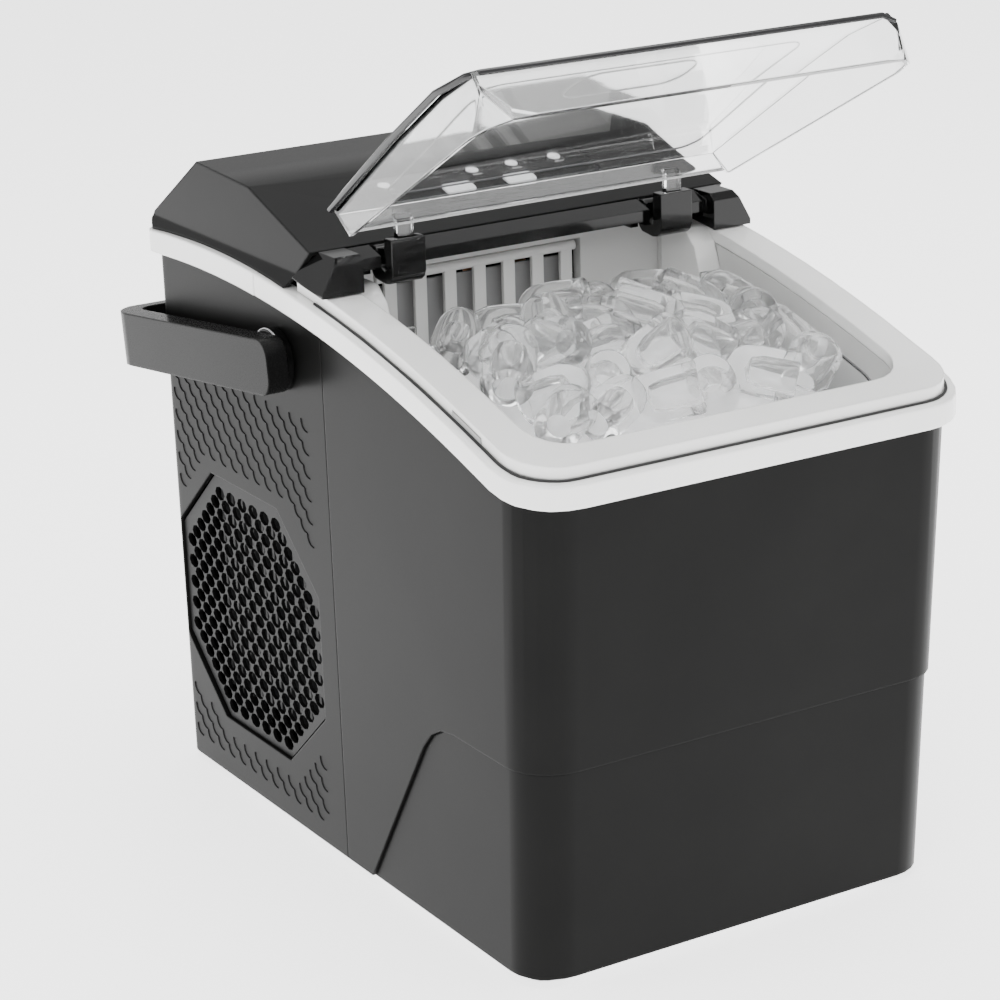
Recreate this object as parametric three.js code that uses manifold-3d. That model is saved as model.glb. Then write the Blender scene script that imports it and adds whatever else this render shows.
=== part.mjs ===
// Countertop bullet-ice maker: a black housing with a curved white trim band, a hinged clear lid,
// a lift-out ice basket, a folding carry handle and the refrigeration works behind the bin.
// Millimetres, +Z up, the front faces -Y and +X is the right-hand side seen from the front.
// Heights are measured from the surface that the feet stand on.
import * as THREE from "three";
import { mergeVertices } from "three/addons/utils/BufferGeometryUtils.js";
import Module from "manifold-3d";

const wasm = await Module();
wasm.setup();

// ---- Driving dimensions ------------------------------------------------------------------
const GAP = 0.3; // clearance kept between pieces that touch
const WALL = 2.5; // moulded wall thickness

const FOOT_H = 4;
const FOOT_R = 10;
const FOOT_INSET = 20;

const BODY_HALF = 108; // half width of the housing under the trim band
const BODY_FRONT = -165;
const BODY_BACK = 163;
const FRONT_R = 22; // radius of the front vertical corners
const REAR_R = 10;
const FRONT_LEAN = 10; // how far the foot of the front wall stands back
const SIDE_DRAFT = 2; // how far the foot of each side wall stands in
const SEAM_Y = 2; // joint between the front and the rear shell
const STEP_Z = 98; // top of the lower front panel
const PANEL_INSET = 1.5; // the lower front panel stands back from the front shell
const DIAGONAL_FOOT_Y = -20;
const DIAGONAL_TOP_Y = -81;
const DIAGONAL_FILLET = 17;

const CREST_Z = 258.5; // highest point of the trim band's lower edge
const CREST_Y = 100;
const TRIM_DROP = 42.5; // fall of the lower edge over TRIM_RUN forward of the crest
const TRIM_RUN = 250;
const TRIM_FRONT_Z = 213; // level stretch along the front
const TRIM_H = 10.5;
const TRIM_PROUD = 5.5; // the band stands out from the housing by this
const TRIM_LAP = 3; // and covers the top of its wall by this
const TRIM_JOINT_Y = 52;

const RIM_HALF = BODY_HALF + 0.5; // outer half width of the rim frame
const RIM_RAISE = 5.5;
const RIM_END_Y = 21; // the frame ends under the hinge blocks
const TAB_Y0 = -130; // a grey clip in each side of the frame
const TAB_Y1 = -108;
const TAB_DEEP = 3;
const TAB_H = 2.6;
const BIN_HALF = 92; // opening of the rim frame and of the tub under it
const BIN_FRONT = -150;
const BIN_R = 20;
const CHEEK_HALF = 80; // the bin narrows to this beside the ice chute
const CHEEK_FRONT = -14;
const CHEEK_FOOT = 222;
const TUB_WALL = 2.5;
const TUB_FLOOR_Z = 42;
const TUB_BACK = 19;
const TUB_REAR_TOP = 168;

const BASKET_HALF = 86;
const BASKET_FRONT = -144;
const BASKET_BACK = -20;
const BASKET_FLOOR_Z = 96;
const BASKET_WALL = 2;
const BASKET_R = 18;
const BASKET_SINK = 12; // its edge lies this far under the rim frame's top
const BASKET_REAR_Z = 192; // lower edge at the back, under the falling ice
const GRIP_DIP_R = 70;
const GRIP_DIP = 12;
const HEAP_CREST_Z = 262;
const HEAP_CREST_Y = -70;
const HEAP_EDGE_Z = 222;

const COVER_HALF = BODY_HALF + 4;
const COVER_FOOT_Y = 27; // foot of the cover's slanted front edge
const COVER_EDGE_Y = 9; // top of that edge
const COVER_EDGE_Z = 284;
const COVER_EDGE_HALF = BODY_HALF - 4;
const FOLD_Y = 68; // between the level rear strip and the sloping front
const FOLD_Z = 302;
const RIDGE_Y = 119;
const RIDGE_Z = 304.5;
const RIDGE_HALF = BODY_HALF + 1;
const SHOULDER_Y = 157; // where the rear slope turns down
const SHOULDER_Z = 277;

const FASCIA_LEFT = -57;
const FASCIA_RIGHT = 61;
const FASCIA_TOP = 5; // distances down the slope from the fold
const FASCIA_BOTTOM = 37;
const FASCIA_THICK = 1;
const FASCIA_R = 8;
const LAMP_XS = [-43, 2, 23, 46];
const LAMP_DOWN = 12;
const LAMP_R = 3;
const BUTTONS = { power: -13, ice_size: 19 };
const BUTTON_DOWN = 26;
const BUTTON_W = 15;
const BUTTON_H = 7.5;
const BUTTON_TRAVEL = 0.6;

const BLOCK_INNER = 91; // the hinge blocks reach in to this half width
const BLOCK_OUTER = BODY_HALF + 3.5;
const BLOCK_FRONT = -8;
const BEAM_FRONT = -2;
const BEAM_FOOT_Z = 275.2;
const BEAM_BACK = 10;

const LID_PIVOT_Y = 6;
const LID_PIVOT_Z = 279.5;
const LID_PIN_R = 2;
const LID_WALL = 2.2;
const LID_HALF_BACK = 98; // half widths of the lid's lower edge
const LID_HALF_FRONT = 105;
const LID_TAPER = 4; // the top plate is narrower by this on each side
const LID_REAR = { y: -10.4, z: 293.6 }; // side view of the open lid: lower edge at the hinge
const LID_FREE = { y: -141, z: 365 }; // lower edge at the free end
const LID_BROW = { y: -119, z: 380 }; // top edge at the free end
const LID_CREASE = { y: -94, z: 367 }; // where the top plate bends
const LID_CROWN = { y: 3, z: 302 }; // top edge at the hinge
const LID_R = 22;
const ARM_INNER = 61; // hinge arm, measured across
const ARM_OUTER = 78;
const ARM_THICK = 4;
const HANDLE_PIVOT_Y = 40;
const HANDLE_PIVOT_Z = 230.5;
const HANDLE_SLOPE = 7.4; // degrees below level at rest
const HANDLE_INNER = BODY_HALF + 6.8;
const HANDLE_THICK = 10.2;
const HANDLE_H = 25;
const HANDLE_REACH = BODY_BACK - HANDLE_PIVOT_Y + 23; // pivot to the outer face of the grip
const HANDLE_NOSE = 20; // the arms reach this far past the pivot
const GRIP_THICK = 12;
const HANDLE_R = 22;
const BOSS_R = 14.5;
const PIN_R = 4;
const RUNNING = 0.4; // running clearance of pins in their bores

const VENT_Y = 86; // centre of the side grilles
const VENT_Z = 95.5;
const VENT_HALF_Y = 73;
const VENT_HALF_Z = 65.5;
const VENT_CUT_Y = 38;
const VENT_CUT_Z = 34;
const VENT_BORDER = 4;
const CELL_PITCH = 22;
const CELL_ROW = 12.7;
const CELL_HALF_Y = 8.6;
const CELL_HALF_Z = 4.6;

const FAN_X = -60;
const FAN_R = 43;
const FAN_BLADES = 5;
const CONDENSER = { x0: -96, x1: -80, y0: 36, y1: 136, z0: 44, z1: 148 };
const COMPRESSOR = { x: 42, y: 92, r: 38, z0: 12, z1: 132 };
const EVAPORATOR_Z = 222;
const FINGER_R = 6;
const FINGER_LENGTH = 32;
const FINGER_PITCH = 19;
const FINGER_ROWS = [
  { y: 47, count: 5 },
  { y: 66, count: 4 },
];
const TRAY = { half: 54, y0: 34, y1: 82, z0: 178, z1: 212 };
const TRAY_AXIS_Y = 88;
const TRAY_AXIS_Z = 208;
const RAKE_AXIS_Y = 24.8;
const RAKE_AXIS_Z = 263;
const RAKE_BARS = 7;
const RAKE_LEFT = -61; // first bar
const RAKE_PITCH = 15.3;
const RAKE_BAR_W = 6;
const RAKE_FOOT_Z = 176;
const CHUTE_HALF = 88;
const CHUTE_TOP_Z = 270;
const SIDE_PLATE = 57.5; // inner faces of the plates that carry the tray and the evaporator
const SIDE_PLATE_THICK = 2.5;
const PUMP = { x: 62, y: 38, r: 14, z0: 7.3, z1: 42 };
const DRAIN = { x: -60, z: 26, r: 6 };
const INLET = { x: 62, z: 40, halfX: 14, halfZ: 11 };

// ---- Turning three.js geometry into solids and back ---------------------------------------
function solidOf(geometry) {
  const bare = geometry.index ? geometry.clone() : geometry;
  bare.deleteAttribute("normal");
  bare.deleteAttribute("uv");
  const merged = mergeVertices(bare, 1e-4);
  return new wasm.Manifold(
    new wasm.Mesh({
      numProp: 3,
      vertProperties: new Float32Array(merged.attributes.position.array),
      triVerts: new Uint32Array(merged.index.array),
    }),
  );
}

function geometryOf(solid) {
  const mesh = solid.getMesh();
  const geometry = new THREE.BufferGeometry();
  geometry.setAttribute("position", new THREE.BufferAttribute(mesh.vertProperties, 3));
  geometry.setIndex(new THREE.BufferAttribute(mesh.triVerts, 1));
  geometry.computeVertexNormals();
  return geometry;
}

const joined = (solids) => solids.reduce((sum, next) => sum.add(next));
const without = (solid, cutters) => cutters.reduce((rest, cutter) => rest.subtract(cutter), solid);

// ---- Shapes and the directions they are extruded in ----------------------------------------
const ROUND_STEPS = 3; // half the number of segments on each rounded corner

function extruded(shape, depth) {
  return new THREE.ExtrudeGeometry(shape, {
    depth,
    bevelEnabled: false,
    curveSegments: ROUND_STEPS,
  });
}

// A sharp-cornered rectangle.
function rectangle(u0, u1, v0, v1) {
  return polygon([
    [u0, v0],
    [u1, v0],
    [u1, v1],
    [u0, v1],
  ]);
}

// A plan outline (x, y) carried up from z0 to z1.
function upright(shape, z0, z1) {
  return extruded(shape, z1 - z0).translate(0, 0, z0);
}

// A side outline (y, z) carried across from x0 to x1.
function across(shape, x0, x1) {
  const turn = new THREE.Matrix4().makeBasis(
    new THREE.Vector3(0, 1, 0),
    new THREE.Vector3(0, 0, 1),
    new THREE.Vector3(1, 0, 0),
  );
  return solidOf(extruded(shape, x1 - x0).applyMatrix4(turn).translate(x0, 0, 0));
}

// The same between two half widths, on the left (side -1) or on the right (side 1).
function acrossBoth(shape, inner, outer, side) {
  return side < 0 ? across(shape, -outer, -inner) : across(shape, inner, outer);
}

// A front outline (x, z) carried back from y0 to y1.
function backward(shape, y0, y1) {
  const turn = new THREE.Matrix4().makeBasis(
    new THREE.Vector3(1, 0, 0),
    new THREE.Vector3(0, 0, 1),
    new THREE.Vector3(0, -1, 0),
  );
  return solidOf(extruded(shape, y1 - y0).applyMatrix4(turn).translate(0, y1, 0));
}

function block(x0, x1, y0, y1, z0, z1) {
  const box = new THREE.BoxGeometry(x1 - x0, y1 - y0, z1 - z0);
  return solidOf(box.translate((x0 + x1) / 2, (y0 + y1) / 2, (z0 + z1) / 2));
}

function polygon(points) {
  return new THREE.Shape(points.map(([u, v]) => new THREE.Vector2(u, v)));
}

// A rectangle whose corners have the radii rLow (at v0) and rHigh (at v1).
function roundedRect(u0, u1, v0, v1, rLow, rHigh = rLow) {
  const shape = new THREE.Shape();
  shape.moveTo(u0 + rLow, v0);
  shape.lineTo(u1 - rLow, v0);
  shape.absarc(u1 - rLow, v0 + rLow, rLow, -Math.PI / 2, 0);
  shape.lineTo(u1, v1 - rHigh);
  shape.absarc(u1 - rHigh, v1 - rHigh, rHigh, 0, Math.PI / 2);
  shape.lineTo(u0 + rHigh, v1);
  shape.absarc(u0 + rHigh, v1 - rHigh, rHigh, Math.PI / 2, Math.PI);
  shape.lineTo(u0, v0 + rLow);
  shape.absarc(u0 + rLow, v0 + rLow, rLow, Math.PI, Math.PI * 1.5);
  return shape;
}

// A round bar along X from x0 to x1.
function barX(radius, x0, x1, y, z, sides = 20) {
  const bar = new THREE.CylinderGeometry(radius, radius, x1 - x0, sides);
  return solidOf(bar.rotateZ(Math.PI / 2).translate((x0 + x1) / 2, y, z));
}

// A round bar along Y from y0 to y1.
function barY(radius, x, y0, y1, z, sides = 16) {
  const bar = new THREE.CylinderGeometry(radius, radius, y1 - y0, sides);
  return solidOf(bar.translate(x, (y0 + y1) / 2, z));
}

// A round bar along Z from z0 to z1.
function barZ(radius, x, y, z0, z1, sides = 20) {
  const bar = new THREE.CylinderGeometry(radius, radius, z1 - z0, sides);
  return solidOf(bar.rotateX(Math.PI / 2).translate(x, y, (z0 + z1) / 2));
}

// A body of revolution about the upright line through (x, y); points are [radius, z].
function turned(points, x, y, sides = 28) {
  const profile = points.map(([r, z]) => new THREE.Vector2(r, z));
  const body = new THREE.LatheGeometry(profile, sides);
  return solidOf(body.rotateX(Math.PI / 2).translate(x, y, 0));
}

// A hose or tube along a smooth curve through the given points.
function tubeAlong(points, radius, steps, sides = 8) {
  const path = new THREE.CatmullRomCurve3(points.map((p) => new THREE.Vector3(...p)));
  const section = new THREE.Shape();
  section.absarc(0, 0, radius, 0, Math.PI * 2);
  return new THREE.ExtrudeGeometry(section, {
    steps,
    extrudePath: path,
    curveSegments: sides / 2,
    bevelEnabled: false,
  });
}

// ---- Curves shared by the housing, the band, the frame, the basket and the cover -----------
const CURVE_STEPS = 22;
const FAR = 200; // reaches outside the whole machine

// Height of the trim band's lower edge: level at the front, then a parabola up to the crest.
function trimFoot(y) {
  const rise = CREST_Z - TRIM_DROP * ((CREST_Y - y) / TRIM_RUN) ** 2;
  const blend = 4;
  const apart = rise - TRIM_FRONT_Z;
  return (rise + TRIM_FRONT_Z + Math.hypot(apart, blend)) / 2;
}
const trimTop = (y) => trimFoot(y) + TRIM_H;
const rimFoot = (y) => trimTop(y) + GAP;
const rimTop = (y) => rimFoot(y) + RIM_RAISE;

// The side outline between two curves of y.
function between(lower, upper, y0, y1) {
  const ys = Array.from({ length: CURVE_STEPS + 1 }, (_, i) => y0 + ((y1 - y0) * i) / CURVE_STEPS);
  const bottom = ys.map((y) => [y, lower(y)]);
  const top = ys.map((y) => [y, upper(y)]).reverse();
  return polygon([...bottom, ...top]);
}

// The housing narrows towards its foot: both sides by the draft, the front by its lean.
function tapered(geometry) {
  const position = geometry.attributes.position;
  for (let i = 0; i < position.count; i++) {
    const down = (TRIM_FRONT_Z - position.getZ(i)) / TRIM_FRONT_Z;
    const x = position.getX(i);
    const y = position.getY(i);
    position.setX(i, x * (1 - (SIDE_DRAFT / BODY_HALF) * down));
    if (y < 0) position.setY(i, y * (1 + (FRONT_LEAN / BODY_FRONT) * down));
  }
  return geometry;
}

function planOutline(grow) {
  return roundedRect(
    -BODY_HALF - grow,
    BODY_HALF + grow,
    BODY_FRONT - grow,
    BODY_BACK + grow,
    FRONT_R + grow,
    REAR_R + grow,
  );
}

// The housing's outer form, moved out by grow, from z0 to z1.
function housing(grow, z0, z1) {
  return solidOf(tapered(upright(planOutline(grow), z0, z1)));
}

function housingSkin(inset, thick, z0, z1) {
  return housing(-inset, z0, z1).subtract(housing(-inset - thick, z0 - 1, z1 + 1));
}

// The part of the side view that belongs to the lower front panel, moved out by grow.
function lowerOutline(grow) {
  const foot = DIAGONAL_FOOT_Y + grow;
  const corner = DIAGONAL_TOP_Y + grow;
  const top = STEP_Z + grow;
  const rise = top - FOOT_H;
  const length = Math.hypot(foot - corner, rise);
  const backY = corner + ((foot - corner) / length) * DIAGONAL_FILLET;
  const backZ = top - (rise / length) * DIAGONAL_FILLET;
  const shape = new THREE.Shape();
  shape.moveTo(-FAR, FOOT_H - 1);
  shape.lineTo(foot, FOOT_H - 1);
  shape.lineTo(backY, backZ);
  shape.quadraticCurveTo(corner, top, corner - DIAGONAL_FILLET, top);
  shape.lineTo(-FAR, top);
  return shape;
}

function octagon(grow) {
  const y = VENT_HALF_Y + grow;
  const z = VENT_HALF_Z + grow;
  const cutY = VENT_CUT_Y + grow * 0.4;
  const cutZ = VENT_CUT_Z + grow * 0.4;
  const corners = [
    [-y, -z + cutZ],
    [-y + cutY, -z],
    [y - cutY, -z],
    [y, -z + cutZ],
    [y, z - cutZ],
    [y - cutY, z],
    [-y + cutY, z],
    [-y, z - cutZ],
  ];
  return polygon(corners.map(([v, w]) => [VENT_Y + v, VENT_Z + w]));
}

// ---- The assembly --------------------------------------------------------------------------
const FINISH = {
  shell: { color: 0x2b2b2a, roughness: 0.55, metalness: 0 },
  trim: { color: 0xe9e9e6, roughness: 0.3, metalness: 0 },
  liner: { color: 0xd9d9d8, roughness: 0.35, metalness: 0 },
  cover: { color: 0x343433, roughness: 0.5, metalness: 0 },
  gloss: { color: 0x0c0c0d, roughness: 0.12, metalness: 0 },
  clear: { color: 0xf2f5f6, roughness: 0.05, metalness: 0, opacity: 0.3, transparent: true },
  ice: { color: 0xf4f7f9, roughness: 0.15, metalness: 0, opacity: 0.6, transparent: true },
  lamp: { color: 0xffffff, roughness: 0.3, metalness: 0 },
  tab_grey: { color: 0x8d8d8a, roughness: 0.5, metalness: 0 },
  rubber: { color: 0x1a1a1a, roughness: 0.9, metalness: 0 },
  steel: { color: 0xb8bbbe, roughness: 0.3, metalness: 1 },
  copper: { color: 0xb9714a, roughness: 0.35, metalness: 1 },
  aluminium: { color: 0xc4c7c9, roughness: 0.4, metalness: 1 },
  black_metal: { color: 0x17181a, roughness: 0.45, metalness: 0.4 },
  board: { color: 0x1f5a35, roughness: 0.5, metalness: 0 },
};
const materials = Object.fromEntries(
  Object.entries(FINISH).map(([slot, look]) => [slot, new THREE.MeshStandardMaterial(look)]),
);

const machine = new THREE.Group();
// The grip and the trim band are the rearmost and foremost pieces; the origin lies midway.
const slopeAngle = THREE.MathUtils.degToRad(HANDLE_SLOPE);
const GRIP_BACK =
  HANDLE_PIVOT_Y + HANDLE_REACH * Math.cos(slopeAngle) + (HANDLE_H / 2) * Math.sin(slopeAngle);
machine.position.y = -(BODY_FRONT - TRIM_PROUD + GRIP_BACK) / 2;

function place(name, solid, slot, parent = machine) {
  const mesh = new THREE.Mesh(geometryOf(solid), materials[slot]);
  mesh.name = name;
  parent.add(mesh);
  return mesh;
}

// ---- Housing -------------------------------------------------------------------------------
const SHELL_TOP = 270; // above every point of the curve, which trims the shells

function underTrim(y0, y1) {
  return across(between(() => FOOT_H - 1, (y) => trimFoot(y) - GAP, y0, y1), -FAR, FAR);
}

function makeFrontShell() {
  const skin = housingSkin(0, WALL, FOOT_H, SHELL_TOP);
  const front = skin.intersect(underTrim(-FAR, SEAM_Y - GAP / 2));
  place("front_shell", front.subtract(across(lowerOutline(GAP), -FAR, FAR)), "shell");
}

function makeLowerFrontPanel() {
  const skin = housingSkin(PANEL_INSET, WALL, FOOT_H, STEP_Z);
  place("lower_front_panel", skin.intersect(across(lowerOutline(0), -FAR, FAR)), "shell");
}

function rearVentCutters() {
  const slots = 9;
  const pitch = 12;
  const foot = 84;
  return Array.from({ length: slots }, (_, i) => {
    const z = foot + i * pitch;
    return backward(rectangle(-70, 70, z, z + 5), BODY_BACK - 10, BODY_BACK + 10);
  });
}

function makeRearShell() {
  const skin = housingSkin(0, WALL, FOOT_H, SHELL_TOP);
  const rear = skin.intersect(underTrim(SEAM_Y + GAP / 2, FAR));
  const inletHole = backward(
    roundedRect(
      INLET.x - INLET.halfX - GAP,
      INLET.x + INLET.halfX + GAP,
      INLET.z - INLET.halfZ - GAP,
      INLET.z + INLET.halfZ + GAP,
      3,
    ),
    BODY_BACK - 10,
    BODY_BACK + 10,
  );
  const cutters = [
    across(octagon(-VENT_BORDER), -FAR, FAR),
    barX(PIN_R + GAP, -FAR, FAR, HANDLE_PIVOT_Y, HANDLE_PIVOT_Z, 16),
    inletHole,
    barY(DRAIN.r + GAP, DRAIN.x, BODY_BACK - 10, BODY_BACK + 10, DRAIN.z),
    ...rearVentCutters(),
  ];
  place("rear_shell", without(rear, cutters), "shell");
}

// A staggered lattice of six-sided cells that lie wholly inside the octagon's border.
function grilleCells(side) {
  const cells = [];
  const rows = Math.floor((VENT_HALF_Z - VENT_BORDER) / CELL_ROW);
  for (let row = -rows; row <= rows; row++) {
    const stagger = row % 2 ? 0.5 : 0;
    for (let column = -4; column <= 4; column++) {
      const y = (column + stagger) * CELL_PITCH;
      const z = row * CELL_ROW;
      if (fitsOctagon(Math.abs(y) + CELL_HALF_Y, Math.abs(z) + CELL_HALF_Z)) {
        cells.push(grilleCell(VENT_Y + y, VENT_Z + z, side));
      }
    }
  }
  return cells;
}

function fitsOctagon(y, z) {
  const border = VENT_BORDER + 3;
  const halfY = VENT_HALF_Y - border;
  const halfZ = VENT_HALF_Z - border;
  if (y > halfY || z > halfZ) return false;
  const spareY = (y - (halfY - VENT_CUT_Y)) / VENT_CUT_Y;
  const spareZ = (z - (halfZ - VENT_CUT_Z)) / VENT_CUT_Z;
  return spareY <= 0 || spareZ <= 0 || spareY + spareZ <= 1;
}

function grilleCell(y, z, side) {
  const tip = CELL_HALF_Y;
  const waist = CELL_HALF_Y * 0.5;
  const cell = polygon([
    [y - tip, z],
    [y - waist, z - CELL_HALF_Z],
    [y + waist, z - CELL_HALF_Z],
    [y + tip, z],
    [y + waist, z + CELL_HALF_Z],
    [y - waist, z + CELL_HALF_Z],
  ]);
  const near = side * (BODY_HALF - 12);
  const far = side * (BODY_HALF + 4);
  return across(cell, Math.min(near, far), Math.max(near, far));
}

function makeSideGrille(name, side) {
  const recess = 0.8;
  const plate = housingSkin(recess, WALL - recess, FOOT_H, SHELL_TOP);
  const half = side > 0 ? block(0, FAR, -FAR, FAR, 0, FAR * 2) : block(-FAR, 0, -FAR, FAR, 0, FAR * 2);
  const octagonal = plate.intersect(across(octagon(-VENT_BORDER - GAP), -FAR, FAR)).intersect(half);
  place(name, without(octagonal, grilleCells(side)), "shell");
}

function makeBase() {
  const inset = PANEL_INSET + WALL + GAP;
  const rimHeight = 10;
  const thick = 3;
  const slab = housing(-inset, FOOT_H, FOOT_H + rimHeight);
  const pocket = housing(-inset - thick, FOOT_H + thick, FOOT_H + rimHeight + 1);
  place("base_pan", slab.subtract(pocket), "shell");
  const footX = BODY_HALF - FOOT_INSET;
  const spots = {
    front_left: [-footX, BODY_FRONT + FRONT_LEAN + FOOT_INSET],
    front_right: [footX, BODY_FRONT + FRONT_LEAN + FOOT_INSET],
    rear_left: [-footX, BODY_BACK - FOOT_INSET],
    rear_right: [footX, BODY_BACK - FOOT_INSET],
  };
  for (const [corner, [x, y]] of Object.entries(spots)) {
    place("foot_" + corner, barZ(FOOT_R, x, y, 0, FOOT_H - GAP, 16), "rubber");
  }
}

// ---- Trim band and rim frame ----------------------------------------------------------------
function makeTrim() {
  const outer = solidOf(upright(planOutline(TRIM_PROUD), TRIM_FRONT_Z - 20, CREST_Z + 40));
  const inner = solidOf(upright(planOutline(-TRIM_LAP), TRIM_FRONT_Z - 21, CREST_Z + 41));
  const band = outer.subtract(inner);
  const stretch = (y0, y1) => band.intersect(across(between(trimFoot, trimTop, y0, y1), -FAR, FAR));
  place("trim_front", stretch(-FAR, TRIM_JOINT_Y - GAP / 2), "trim");
  place("trim_rear", stretch(TRIM_JOINT_Y + GAP / 2, FAR), "trim");
}

function binOpening(grow) {
  return roundedRect(
    -BIN_HALF - grow,
    BIN_HALF + grow,
    BIN_FRONT - grow,
    FAR,
    BIN_R + grow,
    1,
  );
}


// Small grey clips set into the frame's outer edge, one on each side.
function makeRimTabs() {
  for (const side of [-1, 1]) {
    const low = (y) => rimFoot(y) + GAP;
    const high = (y) => rimFoot(y) + TAB_H;
    const outline = between(low, high, TAB_Y0 + GAP, TAB_Y1 - GAP);
    const tab = acrossBoth(outline, RIM_HALF - TAB_DEEP + GAP, RIM_HALF + GAP, side);
    place(side < 0 ? "rim_tab_left" : "rim_tab_right", tab, "tab_grey");
  }
}

// A cheek narrows the bin beside the ice chute; its front edge is rounded over at the top.
function makeCheek(side) {
  const crown = rimTop(CHEEK_FRONT + 14);
  const back = TUB_BACK - GAP;
  const outline = new THREE.Shape();
  outline.moveTo(CHEEK_FRONT, CHEEK_FOOT);
  outline.lineTo(back, CHEEK_FOOT);
  outline.lineTo(back, crown);
  outline.lineTo(CHEEK_FRONT + 14, crown);
  outline.quadraticCurveTo(CHEEK_FRONT, crown - 6, CHEEK_FRONT, CHEEK_FOOT + 8);
  const cheek = acrossBoth(outline, CHEEK_HALF, BIN_HALF + 1, side);
  const tubWall = acrossBoth(between(() => 0, rimFoot, -FAR, FAR), BIN_HALF - GAP, FAR, side);
  return cheek.subtract(tubWall);
}

function makeRimFrame() {
  const outline = roundedRect(
    -RIM_HALF,
    RIM_HALF,
    BODY_FRONT,
    RIM_END_Y,
    FRONT_R,
    1,
  );
  const ring = solidOf(upright(outline, TRIM_FRONT_Z - 20, CREST_Z + 40)).subtract(
    solidOf(upright(binOpening(0), TRIM_FRONT_Z - 21, CREST_Z + 41)),
  );
  const frame = ring.intersect(across(between(rimFoot, rimTop, -FAR, FAR), -FAR, FAR));
  const low = (y) => rimFoot(y) - 1;
  const high = (y) => rimFoot(y) + TAB_H + GAP;
  const pockets = [-1, 1].map((side) => {
    return acrossBoth(between(low, high, TAB_Y0, TAB_Y1), RIM_HALF - TAB_DEEP, RIM_HALF + 2, side);
  });
  place("rim_frame", without(joined([frame, makeCheek(-1), makeCheek(1)]), pockets), "trim");
}

// ---- Bin, basket and ice --------------------------------------------------------------------
function makeTub() {
  const outline = (grow) =>
    roundedRect(
      -BIN_HALF - grow,
      BIN_HALF + grow,
      BIN_FRONT - grow,
      TUB_BACK + grow,
      BIN_R + grow,
      0.5 + grow,
    );
  const outer = solidOf(upright(outline(TUB_WALL), TUB_FLOOR_Z, SHELL_TOP));
  const inner = solidOf(upright(outline(0), TUB_FLOOR_Z + TUB_WALL, SHELL_TOP + 1));
  const trimmed = across(between(() => 0, (y) => rimFoot(y) - GAP, -FAR, FAR), -FAR, FAR);
  const chute = block(-CHEEK_HALF, CHEEK_HALF, 0, FAR, TUB_REAR_TOP, FAR * 2);
  const drain = barZ(DRAIN.r - 2, DRAIN.x, 0, TUB_FLOOR_Z - 1, TUB_FLOOR_Z + TUB_WALL + 1, 12);
  // Two ledges carry the basket's floor.
  const ledges = [-1, 1].map((side) => {
    const outline = rectangle(-110, -30, BASKET_FLOOR_Z - 4, BASKET_FLOOR_Z - GAP);
    return acrossBoth(outline, BASKET_HALF - 6, BIN_HALF + 1, side);
  });
  const tub = outer.subtract(inner).intersect(trimmed);
  place("reservoir_tub", without(joined([tub, ...ledges]), [chute, drain]), "liner");
}

function basketOutline(grow) {
  return roundedRect(
    -BASKET_HALF - grow,
    BASKET_HALF + grow,
    BASKET_FRONT - grow,
    BASKET_BACK + grow,
    BASKET_R + grow,
    8 + grow,
  );
}

function makeBasket() {
  const outer = solidOf(upright(basketOutline(0), BASKET_FLOOR_Z, SHELL_TOP));
  const inner = solidOf(
    upright(basketOutline(-BASKET_WALL), BASKET_FLOOR_Z + BASKET_WALL, SHELL_TOP + 1),
  );
  const edge = across(between(() => 0, (y) => rimTop(y) - BASKET_SINK, -FAR, FAR), -FAR, FAR);
  const frontEdge = rimTop(BASKET_FRONT) - BASKET_SINK;
  const dip = barY(GRIP_DIP_R, 0, BASKET_FRONT - 5, BASKET_FRONT + 12, frontEdge + GRIP_DIP_R - GRIP_DIP, 48);
  const rearDip = block(-CHEEK_HALF + 6, CHEEK_HALF - 6, BASKET_BACK - 5, BASKET_BACK + 5, BASKET_REAR_Z, FAR * 2);
  const drips = Array.from({ length: 7 }, (_, i) => {
    const x = (i - 3) * 22;
    return block(x - 3, x + 3, -125, -40, BASKET_FLOOR_Z - 1, BASKET_FLOOR_Z + BASKET_WALL + 1);
  });
  place("ice_basket", without(outer.subtract(inner).intersect(edge), [dip, rearDip, ...drips]), "clear");
}

function makeIceLoad() {
  const plan = solidOf(
    upright(basketOutline(-BASKET_WALL - 1), BASKET_FLOOR_Z + BASKET_WALL + GAP, SHELL_TOP),
  );
  const crown = (y) => {
    const away = (y - HEAP_CREST_Y) / (BASKET_FRONT - HEAP_CREST_Y);
    return HEAP_CREST_Z - (HEAP_CREST_Z - HEAP_EDGE_Z) * away * away;
  };
  const heap = across(between(() => 0, crown, BASKET_FRONT, BASKET_BACK), -FAR, FAR);
  const roundedTop = new THREE.Shape();
  roundedTop.moveTo(-BASKET_HALF, 0);
  roundedTop.lineTo(BASKET_HALF, 0);
  roundedTop.lineTo(BASKET_HALF, HEAP_EDGE_Z);
  roundedTop.quadraticCurveTo(0, HEAP_CREST_Z * 2 - HEAP_EDGE_Z, -BASKET_HALF, HEAP_EDGE_Z);
  place("ice_load", plan.intersect(heap).intersect(backward(roundedTop, -FAR, FAR)), "ice");
}

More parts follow.
